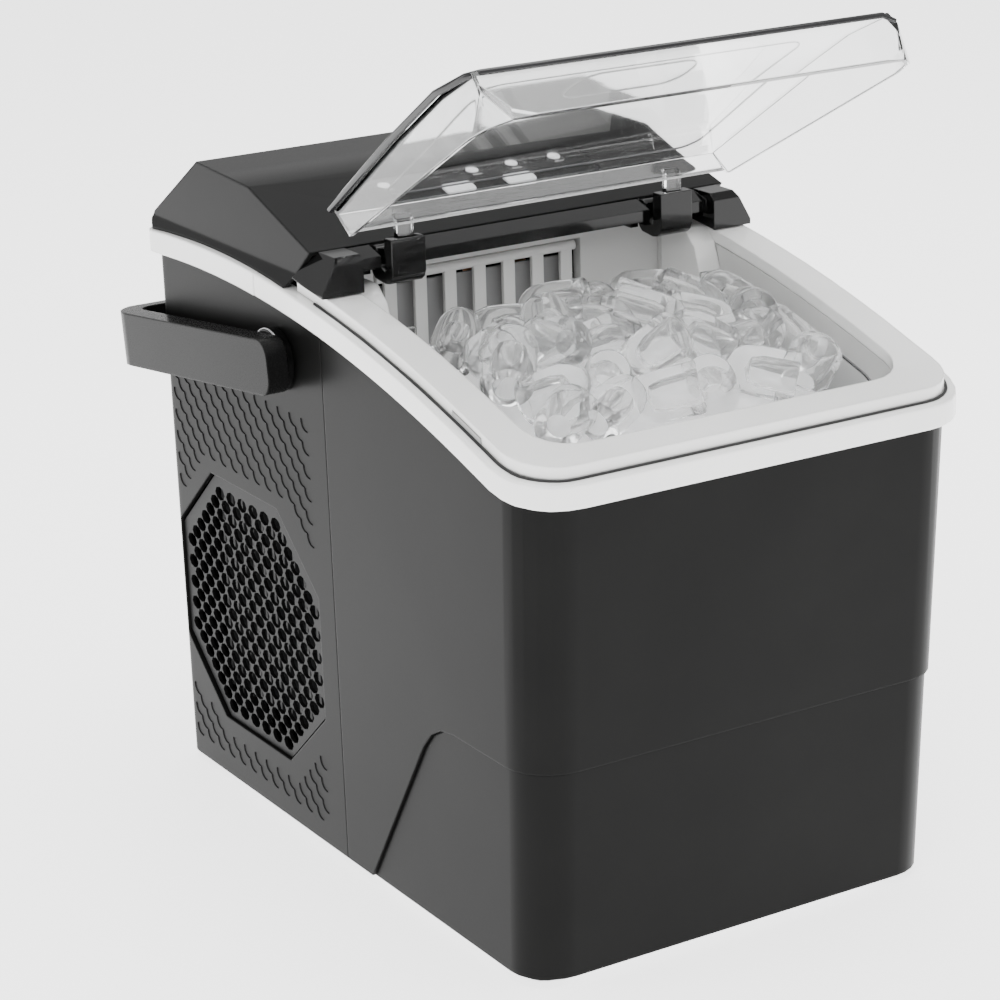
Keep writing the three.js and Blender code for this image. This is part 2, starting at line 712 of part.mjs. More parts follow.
// ---- Chute and rake at the back of the bin ---------------------------------------------------
// A plate with the ice opening, and two side plates behind it that carry the ice mechanism.
function makeChute() {
  const y0 = RAKE_AXIS_Y - 3;
  const y1 = RAKE_AXIS_Y + 3;
  const left = RAKE_LEFT - RAKE_BAR_W / 2 - 6;
  const right = RAKE_LEFT + RAKE_PITCH * (RAKE_BARS - 1) + RAKE_BAR_W / 2 + 4;
  const plate = block(-CHUTE_HALF, CHUTE_HALF, y0, y1, RAKE_FOOT_Z - 16, CHUTE_TOP_Z);
  const opening = block(left, right, y0 - 1, y1 + 0.2, RAKE_FOOT_Z - 4, RAKE_AXIS_Z + 3.4);
  const sides = [-1, 1].map((side) => {
    const outline = rectangle(y1 - 1, TRAY_AXIS_Y + 9, 196, EVAPORATOR_Z + 16);
    const wall = acrossBoth(outline, SIDE_PLATE, SIDE_PLATE + SIDE_PLATE_THICK, side);
    const shelf = rectangle(62, 74, EVAPORATOR_Z - 4, EVAPORATOR_Z - GAP);
    const flange = rectangle(y1 - 0.2, y1 + 3, 200, EVAPORATOR_Z + 14);
    return joined([
      wall,
      acrossBoth(shelf, TRAY.half + 0.6, SIDE_PLATE + 1, side),
      acrossBoth(flange, SIDE_PLATE, CHUTE_HALF - 6, side),
    ]);
  });
  const pin = barX(3, -SIDE_PLATE - 1, -TRAY.half + 4, TRAY_AXIS_Y, TRAY_AXIS_Z, 12);
  const shaftRoom = barX(3 + RUNNING, TRAY.half, FAR, TRAY_AXIS_Y, TRAY_AXIS_Z, 12);
  const hoseRoom = block(TRAY.half, FAR, 46, 61, 196 - 1, EVAPORATOR_Z + 1);
  const frame = joined([plate, ...sides, pin]);
  place("ice_chute", without(frame, [opening, shaftRoom, hoseRoom]), "liner");
}

function makeRake() {
  const depth = 2;
  const last = RAKE_LEFT + RAKE_PITCH * (RAKE_BARS - 1);
  const bars = Array.from({ length: RAKE_BARS }, (_, i) => {
    const x = RAKE_LEFT + i * RAKE_PITCH;
    const y0 = RAKE_AXIS_Y - depth;
    return block(x - RAKE_BAR_W / 2, x + RAKE_BAR_W / 2, y0, y0 + depth, RAKE_FOOT_Z, RAKE_AXIS_Z);
  });
  const spindle = barX(2.4, RAKE_LEFT - 7, last + 5, RAKE_AXIS_Y, RAKE_AXIS_Z, 12);
  const foot = block(RAKE_LEFT - 3, last + 3, RAKE_AXIS_Y - depth, RAKE_AXIS_Y, RAKE_FOOT_Z, RAKE_FOOT_Z + 4);
  place("ice_rake", joined([spindle, foot, ...bars]), "liner");
}

// ---- Cover and controls ----------------------------------------------------------------------
function coverSide(inset) {
  const foot = 150 - inset;
  const rear = SHOULDER_Y + 6 - inset;
  return polygon([
    [COVER_FOOT_Y - inset * 2, foot],
    [rear, foot],
    [rear, SHOULDER_Z - 10],
    [SHOULDER_Y + 2 - inset, SHOULDER_Z - 2 - inset * 0.6],
    [RIDGE_Y - inset * 0.3, RIDGE_Z - inset],
    [FOLD_Y, FOLD_Z - inset],
    [COVER_EDGE_Y - inset * 2, COVER_EDGE_Z - inset * 1.6],
    [COVER_FOOT_Y - inset * 2, trimTop(COVER_FOOT_Y)],
  ]);
}

// The cover's cross section: upright over the band, then leaning in towards the top.
function coverFront(inset) {
  const side = COVER_HALF - inset;
  const shoulder = SHOULDER_Z - 4;
  const top = RIDGE_HALF - 4 - inset;
  const shape = new THREE.Shape();
  shape.moveTo(-side, 100);
  shape.lineTo(side, 100);
  shape.lineTo(side, COVER_EDGE_Z - 18);
  shape.lineTo(side - 3, shoulder);
  shape.lineTo(top, RIDGE_Z + 2 - inset);
  shape.lineTo(-top, RIDGE_Z + 2 - inset);
  shape.lineTo(-side + 3, shoulder);
  shape.lineTo(-side, COVER_EDGE_Z - 18);
  return shape;
}

function coverForm(inset) {
  const grow = COVER_HALF - BODY_HALF - inset;
  const plan = solidOf(upright(planOutline(grow), 0, FAR * 2));
  return plan.intersect(across(coverSide(inset), -FAR, FAR)).intersect(backward(coverFront(inset), -FAR, FAR));
}

// A group whose X-Y plane is the cover's sloping front: -Y runs down the slope from the fold.
const slopeDown = Math.atan2(FOLD_Z - COVER_EDGE_Z, FOLD_Y - COVER_EDGE_Y);
const panel = new THREE.Group();
panel.position.set(0, FOLD_Y, FOLD_Z);
panel.rotation.x = slopeDown;
machine.add(panel);

function onPanel(solid) {
  const matrix = new THREE.Matrix4().makeRotationX(slopeDown).setPosition(0, FOLD_Y, FOLD_Z);
  return solidOf(geometryOf(solid).applyMatrix4(matrix));
}

function fasciaOutline(grow) {
  return roundedRect(
    FASCIA_LEFT - grow,
    FASCIA_RIGHT + grow,
    -FASCIA_BOTTOM - grow,
    -FASCIA_TOP + grow,
    FASCIA_R + grow,
  );
}

function buttonOutline(x, grow) {
  return roundedRect(
    x - BUTTON_W / 2 - grow,
    x + BUTTON_W / 2 + grow,
    -BUTTON_DOWN - BUTTON_H / 2 - grow,
    -BUTTON_DOWN + BUTTON_H / 2 + grow,
    1.6 + grow,
  );
}

const BUTTON_DEEP = 6; // length of a button or lamp below the fascia's face
const FASCIA_FACE = -0.2; // the fascia's face lies just under the cover's

function panelHoles(z0, z1) {
  const buttons = Object.values(BUTTONS).map((x) => solidOf(upright(buttonOutline(x, RUNNING), z0, z1)));
  const lamps = LAMP_XS.map((x) => barZ(LAMP_R + GAP, x, -LAMP_DOWN, z0, z1, 16));
  return [...buttons, ...lamps];
}

function makeCover() {
  const shell = coverForm(0).subtract(coverForm(WALL));
  const overTrim = across(between((y) => trimTop(y) + GAP, () => FAR * 2, COVER_EDGE_Y - 30, FAR), -FAR, FAR);
  const beamRoom = across(
    polygon([
      [-FAR, 0],
      [COVER_FOOT_Y, trimTop(COVER_FOOT_Y)],
      [COVER_EDGE_Y, COVER_EDGE_Z + 0.01],
      [COVER_EDGE_Y, FAR * 2],
      [-FAR, FAR * 2],
    ]),
    -FAR,
    FAR,
  );
  const recess = onPanel(solidOf(upright(fasciaOutline(GAP), FASCIA_FACE - FASCIA_THICK - GAP, 4)));
  const holes = panelHoles(-12, 4).map(onPanel);
  place("top_cover", without(shell.intersect(overTrim), [beamRoom, recess, ...holes]), "cover");
}

function makeControls() {
  const face = solidOf(upright(fasciaOutline(0), FASCIA_FACE - FASCIA_THICK, FASCIA_FACE));
  place("control_fascia", without(face, panelHoles(-12, 4)), "gloss", panel);
  for (const [name, x] of Object.entries(BUTTONS)) {
    const cap = solidOf(upright(buttonOutline(x, 0), -BUTTON_DEEP, FASCIA_FACE + BUTTON_TRAVEL));
    place("button_" + name, cap, "lamp", panel);
  }
  LAMP_XS.forEach((x, i) => {
    place("lamp_" + (i + 1), barZ(LAMP_R, x, -LAMP_DOWN, -BUTTON_DEEP, FASCIA_FACE, 16), "lamp", panel);
  });
  const boardTop = -BUTTON_DEEP - BUTTON_TRAVEL - 2;
  const board = block(FASCIA_LEFT - 4, FASCIA_RIGHT + 4, -FASCIA_BOTTOM - 2, -2, boardTop - 1.6, boardTop);
  const pillars = [FASCIA_LEFT - 1.5, FASCIA_RIGHT + 1.5].flatMap((x) =>
    [-5, -FASCIA_BOTTOM + 3].map((y) => barZ(2, x, y, boardTop - 1, -WALL - GAP, 10)),
  );
  place("control_board", joined([board, ...pillars]), "board", panel);
}

// ---- Hinge beam, lid and hinge arms ------------------------------------------------------------
function makeHingeBeam() {
  const underLine = (y) => rimTop(y) + GAP;
  const lean = (COVER_FOOT_Y - COVER_EDGE_Y) / (COVER_EDGE_Z - trimTop(COVER_FOOT_Y));
  const blockBack = COVER_FOOT_Y - (underLine(RIM_END_Y) - trimTop(COVER_FOOT_Y)) * lean - 2 * GAP;
  const sideView = polygon([
    [BLOCK_FRONT, underLine(BLOCK_FRONT) + GAP],
    [blockBack, underLine(blockBack) + GAP],
    [COVER_EDGE_Y - 2 * GAP, COVER_EDGE_Z],
    [BLOCK_FRONT + 3, COVER_EDGE_Z],
    [BLOCK_FRONT, COVER_EDGE_Z - 3],
  ]);
  const blocks = [-1, 1].map((side) => {
    const frontView = polygon([
      [side * BLOCK_INNER, 200],
      [side * BLOCK_OUTER, 200],
      [side * BLOCK_OUTER, COVER_EDGE_Z - 14],
      [side * (COVER_EDGE_HALF - 1), COVER_EDGE_Z + 1],
      [side * BLOCK_INNER, COVER_EDGE_Z + 1],
    ]);
    return across(sideView, -FAR, FAR).intersect(backward(frontView, -FAR, FAR));
  });
  const beamView = polygon([
    [BEAM_FRONT, BEAM_FOOT_Z],
    [BEAM_BACK, BEAM_FOOT_Z],
    [BEAM_BACK, COVER_EDGE_Z - 2.4],
    [COVER_EDGE_Y - 2 * GAP, COVER_EDGE_Z - 0.4],
    [BEAM_FRONT, COVER_EDGE_Z - 3.5],
  ]);
  const beam = across(beamView, -BLOCK_INNER - 1, BLOCK_INNER + 1);
  // A slot clears each hinge arm; a web behind it ties the beam together.
  const slots = [-1, 1].map((side) => {
    const outline = rectangle(-FAR, BEAM_BACK + 5, 260, 300);
    return acrossBoth(outline, ARM_INNER - 1, ARM_OUTER + 1, side);
  });
  const tie = across(
    polygon([
      [BEAM_BACK + 8, BEAM_FOOT_Z],
      [BEAM_BACK + 10.4, BEAM_FOOT_Z],
      [BEAM_BACK + 10.4, BEAM_FOOT_Z - 4],
      [BEAM_BACK + 8, BEAM_FOOT_Z - 4],
    ]),
    -BLOCK_INNER - 1,
    BLOCK_INNER + 1,
  );
  const ribs = [-BLOCK_INNER, -ARM_OUTER - 6, -ARM_INNER + 2, ARM_INNER - 6, ARM_OUTER + 2, BLOCK_INNER - 4].map(
    (x) => block(x, x + 4, BEAM_BACK - 4, BEAM_BACK + 9, BEAM_FOOT_Z - 4, BEAM_FOOT_Z + 3),
  );
  const body = joined([...blocks, without(beam, slots), tie, ...ribs]);
  const bores = [-1, 1].map((side) => {
    const inner = side * (ARM_INNER - 9);
    const outer = side * (ARM_OUTER + 9);
    return barX(LID_PIN_R + GAP, Math.min(inner, outer), Math.max(inner, outer), LID_PIVOT_Y, LID_PIVOT_Z, 16);
  });
  place("hinge_beam", without(body, bores), "cover");
  for (const side of [-1, 1]) {
    const inner = side * (ARM_INNER - 8);
    const outer = side * (ARM_OUTER + 8);
    const pin = barX(LID_PIN_R, Math.min(inner, outer), Math.max(inner, outer), LID_PIVOT_Y, LID_PIVOT_Z, 16);
    place(side < 0 ? "lid_pin_left" : "lid_pin_right", pin, "steel");
  }
}

// The lid is drawn flat, with its lower edge level, and then tilted up about that edge's hinge end.
const lidLength = Math.hypot(LID_FREE.y - LID_REAR.y, LID_FREE.z - LID_REAR.z);
const lidTilt = Math.atan2(LID_FREE.z - LID_REAR.z, LID_REAR.y - LID_FREE.y);

// A point of the side view in the lid's own frame: how far forward, and how high over the edge.
function inLid(point) {
  const forward = LID_REAR.y - point.y;
  const up = point.z - LID_REAR.z;
  return {
    out: forward * Math.cos(lidTilt) + up * Math.sin(lidTilt),
    high: up * Math.cos(lidTilt) - forward * Math.sin(lidTilt),
  };
}

function lidForm(inset) {
  const crown = inLid(LID_CROWN);
  const crease = inLid(LID_CREASE);
  const brow = inLid(LID_BROW);
  const foot = inset ? -5 : 0;
  const side = polygon([
    [-lidLength + inset, foot],
    [-inset, foot],
    [-crown.out - inset, crown.high - inset],
    [-crease.out, crease.high - inset],
    [-brow.out + inset * 0.8, brow.high - inset],
  ]);
  const backHalf = LID_HALF_BACK - inset;
  const frontHalf = LID_HALF_FRONT - inset;
  const reach = lidLength + 2;
  const rear = crown.out - 4;
  const r = LID_R - inset;
  const plan = new THREE.Shape();
  plan.moveTo(-backHalf, -rear);
  plan.lineTo(-frontHalf, -lidLength + LID_R);
  plan.quadraticCurveTo(-frontHalf, -reach + inset + 2, -frontHalf + r, -reach + inset + 2);
  plan.lineTo(frontHalf - r, -reach + inset + 2);
  plan.quadraticCurveTo(frontHalf, -reach + inset + 2, frontHalf, -lidLength + LID_R);
  plan.lineTo(backHalf, -rear);
  const highest = brow.high + 2;
  const flare = polygon([
    [-LID_HALF_FRONT + inset, -6],
    [LID_HALF_FRONT - inset, -6],
    [LID_HALF_FRONT - inset, 0],
    [LID_HALF_FRONT - LID_TAPER - inset, highest],
    [-LID_HALF_FRONT + LID_TAPER + inset, highest],
    [-LID_HALF_FRONT + inset, 0],
  ]);
  return across(side, -FAR, FAR)
    .intersect(solidOf(upright(plan, -FAR, FAR)))
    .intersect(backward(flare, -FAR, FAR));
}

function tiltedLid(solid) {
  const matrix = new THREE.Matrix4().makeRotationX(-lidTilt).setPosition(0, LID_REAR.y, LID_REAR.z);
  return solidOf(geometryOf(solid).applyMatrix4(matrix));
}

const TONGUE_HALF = 4;
const armMiddle = (ARM_INNER + ARM_OUTER) / 2;

function makeLid() {
  const tray = tiltedLid(lidForm(0).subtract(lidForm(LID_WALL)));
  // A tongue on each side reaches down from the lid's rear wall into its hinge arm.
  const tongues = [-1, 1].map((side) => {
    const outline = polygon([
      [LID_REAR.y + 2.9, LID_PIVOT_Z + 2],
      [LID_REAR.y + 6.5, LID_PIVOT_Z + 2],
      [LID_REAR.y + 6.5, LID_REAR.z + 5.4],
      [LID_REAR.y + 2.9, LID_REAR.z + 3.2],
    ]);
    const middle = side * armMiddle;
    return across(outline, middle - TONGUE_HALF, middle + TONGUE_HALF);
  });
  place("lid", joined([tray, ...tongues]), "clear");
}

// The black gooseneck arm: it wraps under the beam, turns on its pin and holds the lid's tongue.
function makeHingeArms() {
  const outline = new THREE.Shape();
  outline.moveTo(LID_PIVOT_Y + 4, LID_PIVOT_Z + 1);
  outline.absarc(LID_PIVOT_Y, LID_PIVOT_Z, 4.1, 0.2, Math.PI * 0.75);
  outline.lineTo(LID_PIVOT_Y - 4.2, LID_PIVOT_Z - 4);
  outline.lineTo(LID_REAR.y + 7.5, LID_PIVOT_Z - 6);
  outline.lineTo(LID_REAR.y + 7.5, LID_PIVOT_Z + 9);
  outline.lineTo(LID_REAR.y + 1, LID_PIVOT_Z + 9);
  outline.lineTo(LID_REAR.y + 1, LID_PIVOT_Z - 6);
  outline.quadraticCurveTo(LID_REAR.y + 2, LID_PIVOT_Z - 11.5, LID_REAR.y + 8, LID_PIVOT_Z - 11.5);
  outline.lineTo(LID_PIVOT_Y, LID_PIVOT_Z - 10.5);
  outline.quadraticCurveTo(LID_PIVOT_Y + 4, LID_PIVOT_Z - 8, LID_PIVOT_Y + 4, LID_PIVOT_Z - 3);
  for (const side of [-1, 1]) {
    const inner = side * ARM_INNER;
    const outer = side * ARM_OUTER;
    const arm = across(outline, Math.min(inner, outer), Math.max(inner, outer));
    const middle = side * armMiddle;
    const pocket = block(
      middle - TONGUE_HALF - GAP,
      middle + TONGUE_HALF + GAP,
      LID_REAR.y + 2.6,
      LID_REAR.y + 6.8,
      LID_PIVOT_Z + 2 - GAP,
      LID_PIVOT_Z + 20,
    );
    const bore = barX(LID_PIN_R + RUNNING, -FAR, FAR, LID_PIVOT_Y, LID_PIVOT_Z, 16);
    place(side < 0 ? "hinge_arm_left" : "hinge_arm_right", without(arm, [pocket, bore]), "gloss");
  }
}

// ---- Carry handle ----------------------------------------------------------------------------
const bail = new THREE.Group();
bail.position.set(0, HANDLE_PIVOT_Y, HANDLE_PIVOT_Z);
bail.rotation.x = -slopeAngle;
machine.add(bail);

function makeHandle() {
  const outerHalf = HANDLE_INNER + HANDLE_THICK;
  const outer = roundedRect(-outerHalf, outerHalf, -HANDLE_NOSE - 40, HANDLE_REACH, 1, HANDLE_R);
  const inner = roundedRect(
    -HANDLE_INNER,
    HANDLE_INNER,
    -HANDLE_NOSE - 60,
    HANDLE_REACH - GRIP_THICK,
    1,
    HANDLE_R - GRIP_THICK,
  );
  const bow = solidOf(upright(outer, -HANDLE_H, HANDLE_H)).subtract(
    solidOf(upright(inner, -HANDLE_H - 1, HANDLE_H + 1)),
  );
  const profile = roundedRect(-HANDLE_NOSE, HANDLE_REACH + 1, -HANDLE_H / 2, HANDLE_H / 2, 4);
  const nose = roundedRect(-HANDLE_NOSE, HANDLE_REACH * 2, -HANDLE_H / 2, HANDLE_H / 2, 8);
  const shaped = bow.intersect(across(profile, -FAR, FAR)).intersect(across(nose, -FAR, FAR));
  const boreEnd = HANDLE_INNER + HANDLE_THICK - 2.5;
  const bore = barX(PIN_R + RUNNING, -boreEnd, boreEnd, 0, 0, 16);
  place("carry_handle", shaped.subtract(bore), "cover", bail);
}

function makeHandlePivots() {
  for (const side of [-1, 1]) {
    const hand = side < 0 ? "left" : "right";
    const near = side * (BODY_HALF + GAP);
    const far = side * (HANDLE_INNER - GAP);
    const disc = barX(BOSS_R, Math.min(near, far), Math.max(near, far), HANDLE_PIVOT_Y, HANDLE_PIVOT_Z, 32);
    const bore = barX(PIN_R + GAP, -FAR, FAR, HANDLE_PIVOT_Y, HANDLE_PIVOT_Z, 16);
    place("handle_boss_" + hand, disc.subtract(bore), "gloss");
    const inside = side * (BODY_HALF - 8);
    const outside = side * (HANDLE_INNER + HANDLE_THICK - 3);
    const pin = barX(PIN_R, Math.min(inside, outside), Math.max(inside, outside), HANDLE_PIVOT_Y, HANDLE_PIVOT_Z, 16);
    place("handle_pin_" + hand, pin, "steel");
  }
}

// ---- Refrigeration, water and power -------------------------------------------------------------
function makeCondenser() {
  const { x0, x1, y0, y1, z0, z1 } = CONDENSER;
  const fins = 10;
  const pitch = (y1 - y0) / fins;
  const plates = Array.from({ length: fins }, (_, i) => {
    const y = y0 + i * pitch + pitch / 2;
    return block(x0, x1, y - 1, y + 1, z0, z1);
  });
  const rows = 3;
  const tubes = Array.from({ length: rows }, (_, i) => {
    const z = z0 + ((i + 0.5) * (z1 - z0)) / rows;
    return barY(4, (x0 + x1) / 2, y0, y1, z, 6);
  });
  const legs = [y0 + 6, y1 - 12].map((y) => block(x0 + 2, x1 - 2, y, y + 6, FOOT_H + 3 + GAP, z0 + 4));
  place("condenser", joined([...plates, ...tubes, ...legs]), "aluminium");
}

function makeFan() {
  const shroudBack = FAN_X - 10;
  const plate = block(
    shroudBack - 3,
    shroudBack,
    VENT_Y - FAN_R - 8,
    VENT_Y + FAN_R + 8,
    FOOT_H + 3 + GAP,
    VENT_Z + FAN_R + 8,
  );
  const mouth = barX(FAN_R + 2, shroudBack - 4, shroudBack + 1, VENT_Y, VENT_Z, 32);
  place("fan_shroud", plate.subtract(mouth), "black_metal");

  const hub = barX(12, FAN_X - 6, FAN_X + 6, VENT_Y, VENT_Z, 20);
  const blades = Array.from({ length: FAN_BLADES }, (_, i) => {
    const blade = new THREE.BoxGeometry(2, 24, FAN_R - 8);
    blade.translate(0, 0, 8 + (FAN_R - 8) / 2);
    blade.rotateZ(THREE.MathUtils.degToRad(24));
    blade.rotateX((i * Math.PI * 2) / FAN_BLADES);
    return solidOf(blade.translate(FAN_X, VENT_Y, VENT_Z));
  });
  const tips = barX(FAN_R, FAN_X - 8, FAN_X + 8, VENT_Y, VENT_Z, 40);
  const bore = barX(2 + RUNNING, FAN_X - 2, FAN_X + 9, VENT_Y, VENT_Z, 12);
  place("condenser_fan", joined([hub, ...blades]).intersect(tips).subtract(bore), "black_metal");

  const motor = barX(17, FAN_X + 9, FAN_X + 32, VENT_Y, VENT_Z, 24);
  const shaft = barX(2, FAN_X - 1, FAN_X + 10, VENT_Y, VENT_Z, 12);
  const stand = block(FAN_X + 14, FAN_X + 26, VENT_Y - 8, VENT_Y + 8, FOOT_H + 3 + GAP, VENT_Z - 10);
  place("fan_motor", joined([motor, shaft, stand]), "steel");
}

function makeCompressor() {
  const { x, y, r, z0, z1 } = COMPRESSOR;
  const dome = turned(
    [
      [0, z0],
      [r * 0.9, z0],
      [r, z0 + 8],
      [r, z1 - 34],
      [r * 0.92, z1 - 14],
      [r * 0.6, z1 - 2],
      [0, z1],
    ],
    x,
    y,
  );
  const sole = block(x - r - 6, x + r + 6, y - r + 4, y + r - 4, FOOT_H + 3 + GAP, z0 + 2);
  place("compressor", joined([dome, sole]), "black_metal");
}

function makeEvaporator() {
  const back = 76;
  const front = 38;
  const half = SIDE_PLATE - GAP;
  const manifoldBar = block(-half, half, front, back, EVAPORATOR_Z, EVAPORATOR_Z + 10);
  const fingers = FINGER_ROWS.flatMap(({ y, count }) =>
    Array.from({ length: count }, (_, i) => {
      const x = (i - (count - 1) / 2) * FINGER_PITCH;
      const tip = EVAPORATOR_Z - FINGER_LENGTH;
      return turned(
        [
          [0, tip],
          [FINGER_R * 0.6, tip + 1.5],
          [FINGER_R, tip + 6],
          [FINGER_R, EVAPORATOR_Z + 1],
          [0, EVAPORATOR_Z + 1],
        ],
        x,
        y,
        12,
      );
    }),
  );
  place("evaporator", joined([manifoldBar, ...fingers]), "copper");
}

function makeWaterTray() {
  const { half, y0, y1, z0, z1 } = TRAY;
  const wall = 2;
  const outer = across(roundedRect(y0, y1, z0, z1 + 10, 8, 1), -half, half);
  const inner = across(roundedRect(y0 + wall, y1 - wall, z0 + wall, z1 + 12, 6, 1), -half + wall, half - wall);
  const level = block(-FAR, FAR, -FAR, FAR, z1, FAR * 2);
  const ear = across(roundedRect(y1 - 6, TRAY_AXIS_Y + 5, TRAY_AXIS_Z - 6, TRAY_AXIS_Z + 4, 3), half - 4, half);
  const shaftHole = barX(3 + RUNNING, half - 5, half + 1, TRAY_AXIS_Y, TRAY_AXIS_Z, 12);
  const farEar = ear.mirror([1, 0, 0]);
  const farHole = shaftHole.mirror([1, 0, 0]);
  const tray = joined([without(outer, [level, inner]), ear, farEar]);
  place("water_tray", without(tray, [shaftHole, farHole]), "liner");
  const near = SIDE_PLATE + SIDE_PLATE_THICK + GAP;
  const motorBody = block(near, near + 24, TRAY_AXIS_Y - 12, TRAY_AXIS_Y + 12, TRAY_AXIS_Z - 14, TRAY_AXIS_Z + 14);
  const shaft = barX(3, half - 4, near + 1, TRAY_AXIS_Y, TRAY_AXIS_Z, 12);
  place("tray_motor", joined([motorBody, shaft]), "black_metal");
}

function makeWaterWorks() {
  const { x, y, r, z0, z1 } = PUMP;
  const body = barZ(r, x, y, z0, z1, 20);
  const spout = barZ(5, x, y, z1 - 1, z1 + 6, 12);
  place("water_pump", joined([body, spout]), "black_metal");
  const rise = z1 + 6 + GAP;
  const hose = tubeAlong(
    [
      [x, y, rise],
      [x, y, rise + 30],
      [x + 6, y + 4, 150],
      [x + 8, y + 8, 200],
      [x + 2, y + 15, 216.6],
      [TRAY.half - 8, y + 15, 216.6],
    ],
    3.5,
    24,
  );
  place("water_hose", solidOf(hose), "clear");
  const drainPipe = tubeAlong(
    [
      [DRAIN.x, BODY_BACK - 4, DRAIN.z],
      [DRAIN.x, 90, DRAIN.z],
      [DRAIN.x, 24, DRAIN.z],
      [DRAIN.x, 5, DRAIN.z + 3],
      [DRAIN.x, 0, TUB_FLOOR_Z - 7],
      [DRAIN.x, 0, TUB_FLOOR_Z - GAP],
    ],
    DRAIN.r - 1,
    24,
  );
  place("drain_pipe", solidOf(drainPipe), "liner");
  const capFace = BODY_BACK + 9;
  const plug = barY(DRAIN.r - 0.4, DRAIN.x, BODY_BACK - 3.4, BODY_BACK + 2, DRAIN.z);
  const flange = barY(11, DRAIN.x, BODY_BACK + GAP, BODY_BACK + 4, DRAIN.z, 24);
  const grip = block(DRAIN.x - 2.5, DRAIN.x + 2.5, BODY_BACK + 2, capFace, DRAIN.z - 9, DRAIN.z + 9);
  place("drain_cap", joined([plug, flange, grip]), "rubber");
}

function makeTubes() {
  const { x, y, z1 } = COMPRESSOR;
  const discharge = tubeAlong(
    [
      [x - 14, y + 14, z1 - 1],
      [x - 14, y + 14, z1 + 12],
      [0, y + 30, 158],
      [-60, y + 36, 160],
      [(CONDENSER.x0 + CONDENSER.x1) / 2, CONDENSER.y1 - 4, 158],
      [(CONDENSER.x0 + CONDENSER.x1) / 2, CONDENSER.y1 - 4, CONDENSER.z1 + GAP],
    ],
    3,
    28,
  );
  place("discharge_tube", solidOf(discharge), "copper");
  const suction = tubeAlong(
    [
      [x + 16, y + 16, z1 - 1],
      [x + 16, y + 16, z1 + 10],
      [x + 10, y + 40, 200],
      [x - 10, y + 20, 244],
      [30, 62, 250],
      [30, 60, EVAPORATOR_Z + 14],
      [30, 60, EVAPORATOR_Z + 10 + GAP],
    ],
    3,
    30,
  );
  place("suction_tube", solidOf(suction), "copper");
}

function makeInlet() {
  const { x, z, halfX, halfZ } = INLET;
  const housingBlock = backward(
    roundedRect(x - halfX, x + halfX, z - halfZ, z + halfZ, 3),
    BODY_BACK - 22,
    BODY_BACK + 0.4,
  );
  const socket = backward(
    roundedRect(x - halfX + 2.5, x + halfX - 2.5, z - halfZ + 2.5, z + halfZ - 2.5, 2),
    BODY_BACK - 16,
    BODY_BACK + 2,
  );
  const prongs = [-7, 0, 7].map((shift) => {
    const lift = shift === 0 ? 2 : -2;
    return block(x + shift - 1, x + shift + 1, BODY_BACK - 18, BODY_BACK - 4, z + lift - 2, z + lift + 2);
  });
  place("power_inlet", joined([housingBlock.subtract(socket), ...prongs]), "gloss");
}

function makeRearScrews() {
  const spots = { upper_left: [-92, 240], upper_right: [92, 240], lower_left: [-92, 20], lower_right: [92, 20] };
  for (const [corner, [x, z]] of Object.entries(spots)) {
    const head = barY(4, x, BODY_BACK + GAP, BODY_BACK + 2.4, z);
    const slot = block(x - 5, x + 5, BODY_BACK + 1.4, BODY_BACK + 5, z - 0.6, z + 0.6);
    place("rear_screw_" + corner, head.subtract(slot), "steel");
  }
}

makeFrontShell();
makeLowerFrontPanel();
makeRearShell();
makeSideGrille("side_grille_left", -1);
makeSideGrille("side_grille_right", 1);
makeBase();
makeTrim();
makeRimFrame();
makeRimTabs();
makeTub();
makeBasket();
makeIceLoad();
makeChute();
makeRake();
makeCover();
makeControls();
makeHingeBeam();
makeLid();
makeHingeArms();
makeHandle();
makeHandlePivots();
makeCondenser();
makeFan();
makeCompressor();
makeEvaporator();
makeWaterTray();
makeWaterWorks();
makeTubes();
makeInlet();
makeRearScrews();

const iceMaker = new THREE.Group();
iceMaker.add(machine);
export default iceMaker;
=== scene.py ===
import math
import random

import bpy
from mathutils import Matrix, Vector


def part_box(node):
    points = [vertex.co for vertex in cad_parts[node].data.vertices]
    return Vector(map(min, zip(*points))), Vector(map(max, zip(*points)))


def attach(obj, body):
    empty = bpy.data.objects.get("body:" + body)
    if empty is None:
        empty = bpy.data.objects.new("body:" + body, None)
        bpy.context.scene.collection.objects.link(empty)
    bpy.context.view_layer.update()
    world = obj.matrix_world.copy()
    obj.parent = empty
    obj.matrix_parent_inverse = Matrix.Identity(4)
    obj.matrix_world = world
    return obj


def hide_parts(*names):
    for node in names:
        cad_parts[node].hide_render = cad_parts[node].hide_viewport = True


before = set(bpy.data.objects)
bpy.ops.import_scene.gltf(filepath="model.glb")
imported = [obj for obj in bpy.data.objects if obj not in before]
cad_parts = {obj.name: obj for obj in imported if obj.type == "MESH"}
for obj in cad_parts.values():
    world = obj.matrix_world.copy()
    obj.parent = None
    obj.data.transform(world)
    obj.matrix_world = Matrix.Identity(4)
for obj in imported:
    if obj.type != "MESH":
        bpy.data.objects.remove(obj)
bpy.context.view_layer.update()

# Camera
# A long lens stands in front and to the left of the machine, a little above the open lid,
# and leans slightly to one side.
LENS = 112.8
CAMERA_PLACE = (-0.7141, -1.1497, 0.6056)
CAMERA_TURN = math.radians(-31.23)
CAMERA_DROP = math.radians(18.51)
CAMERA_LEAN = math.radians(-1.62)

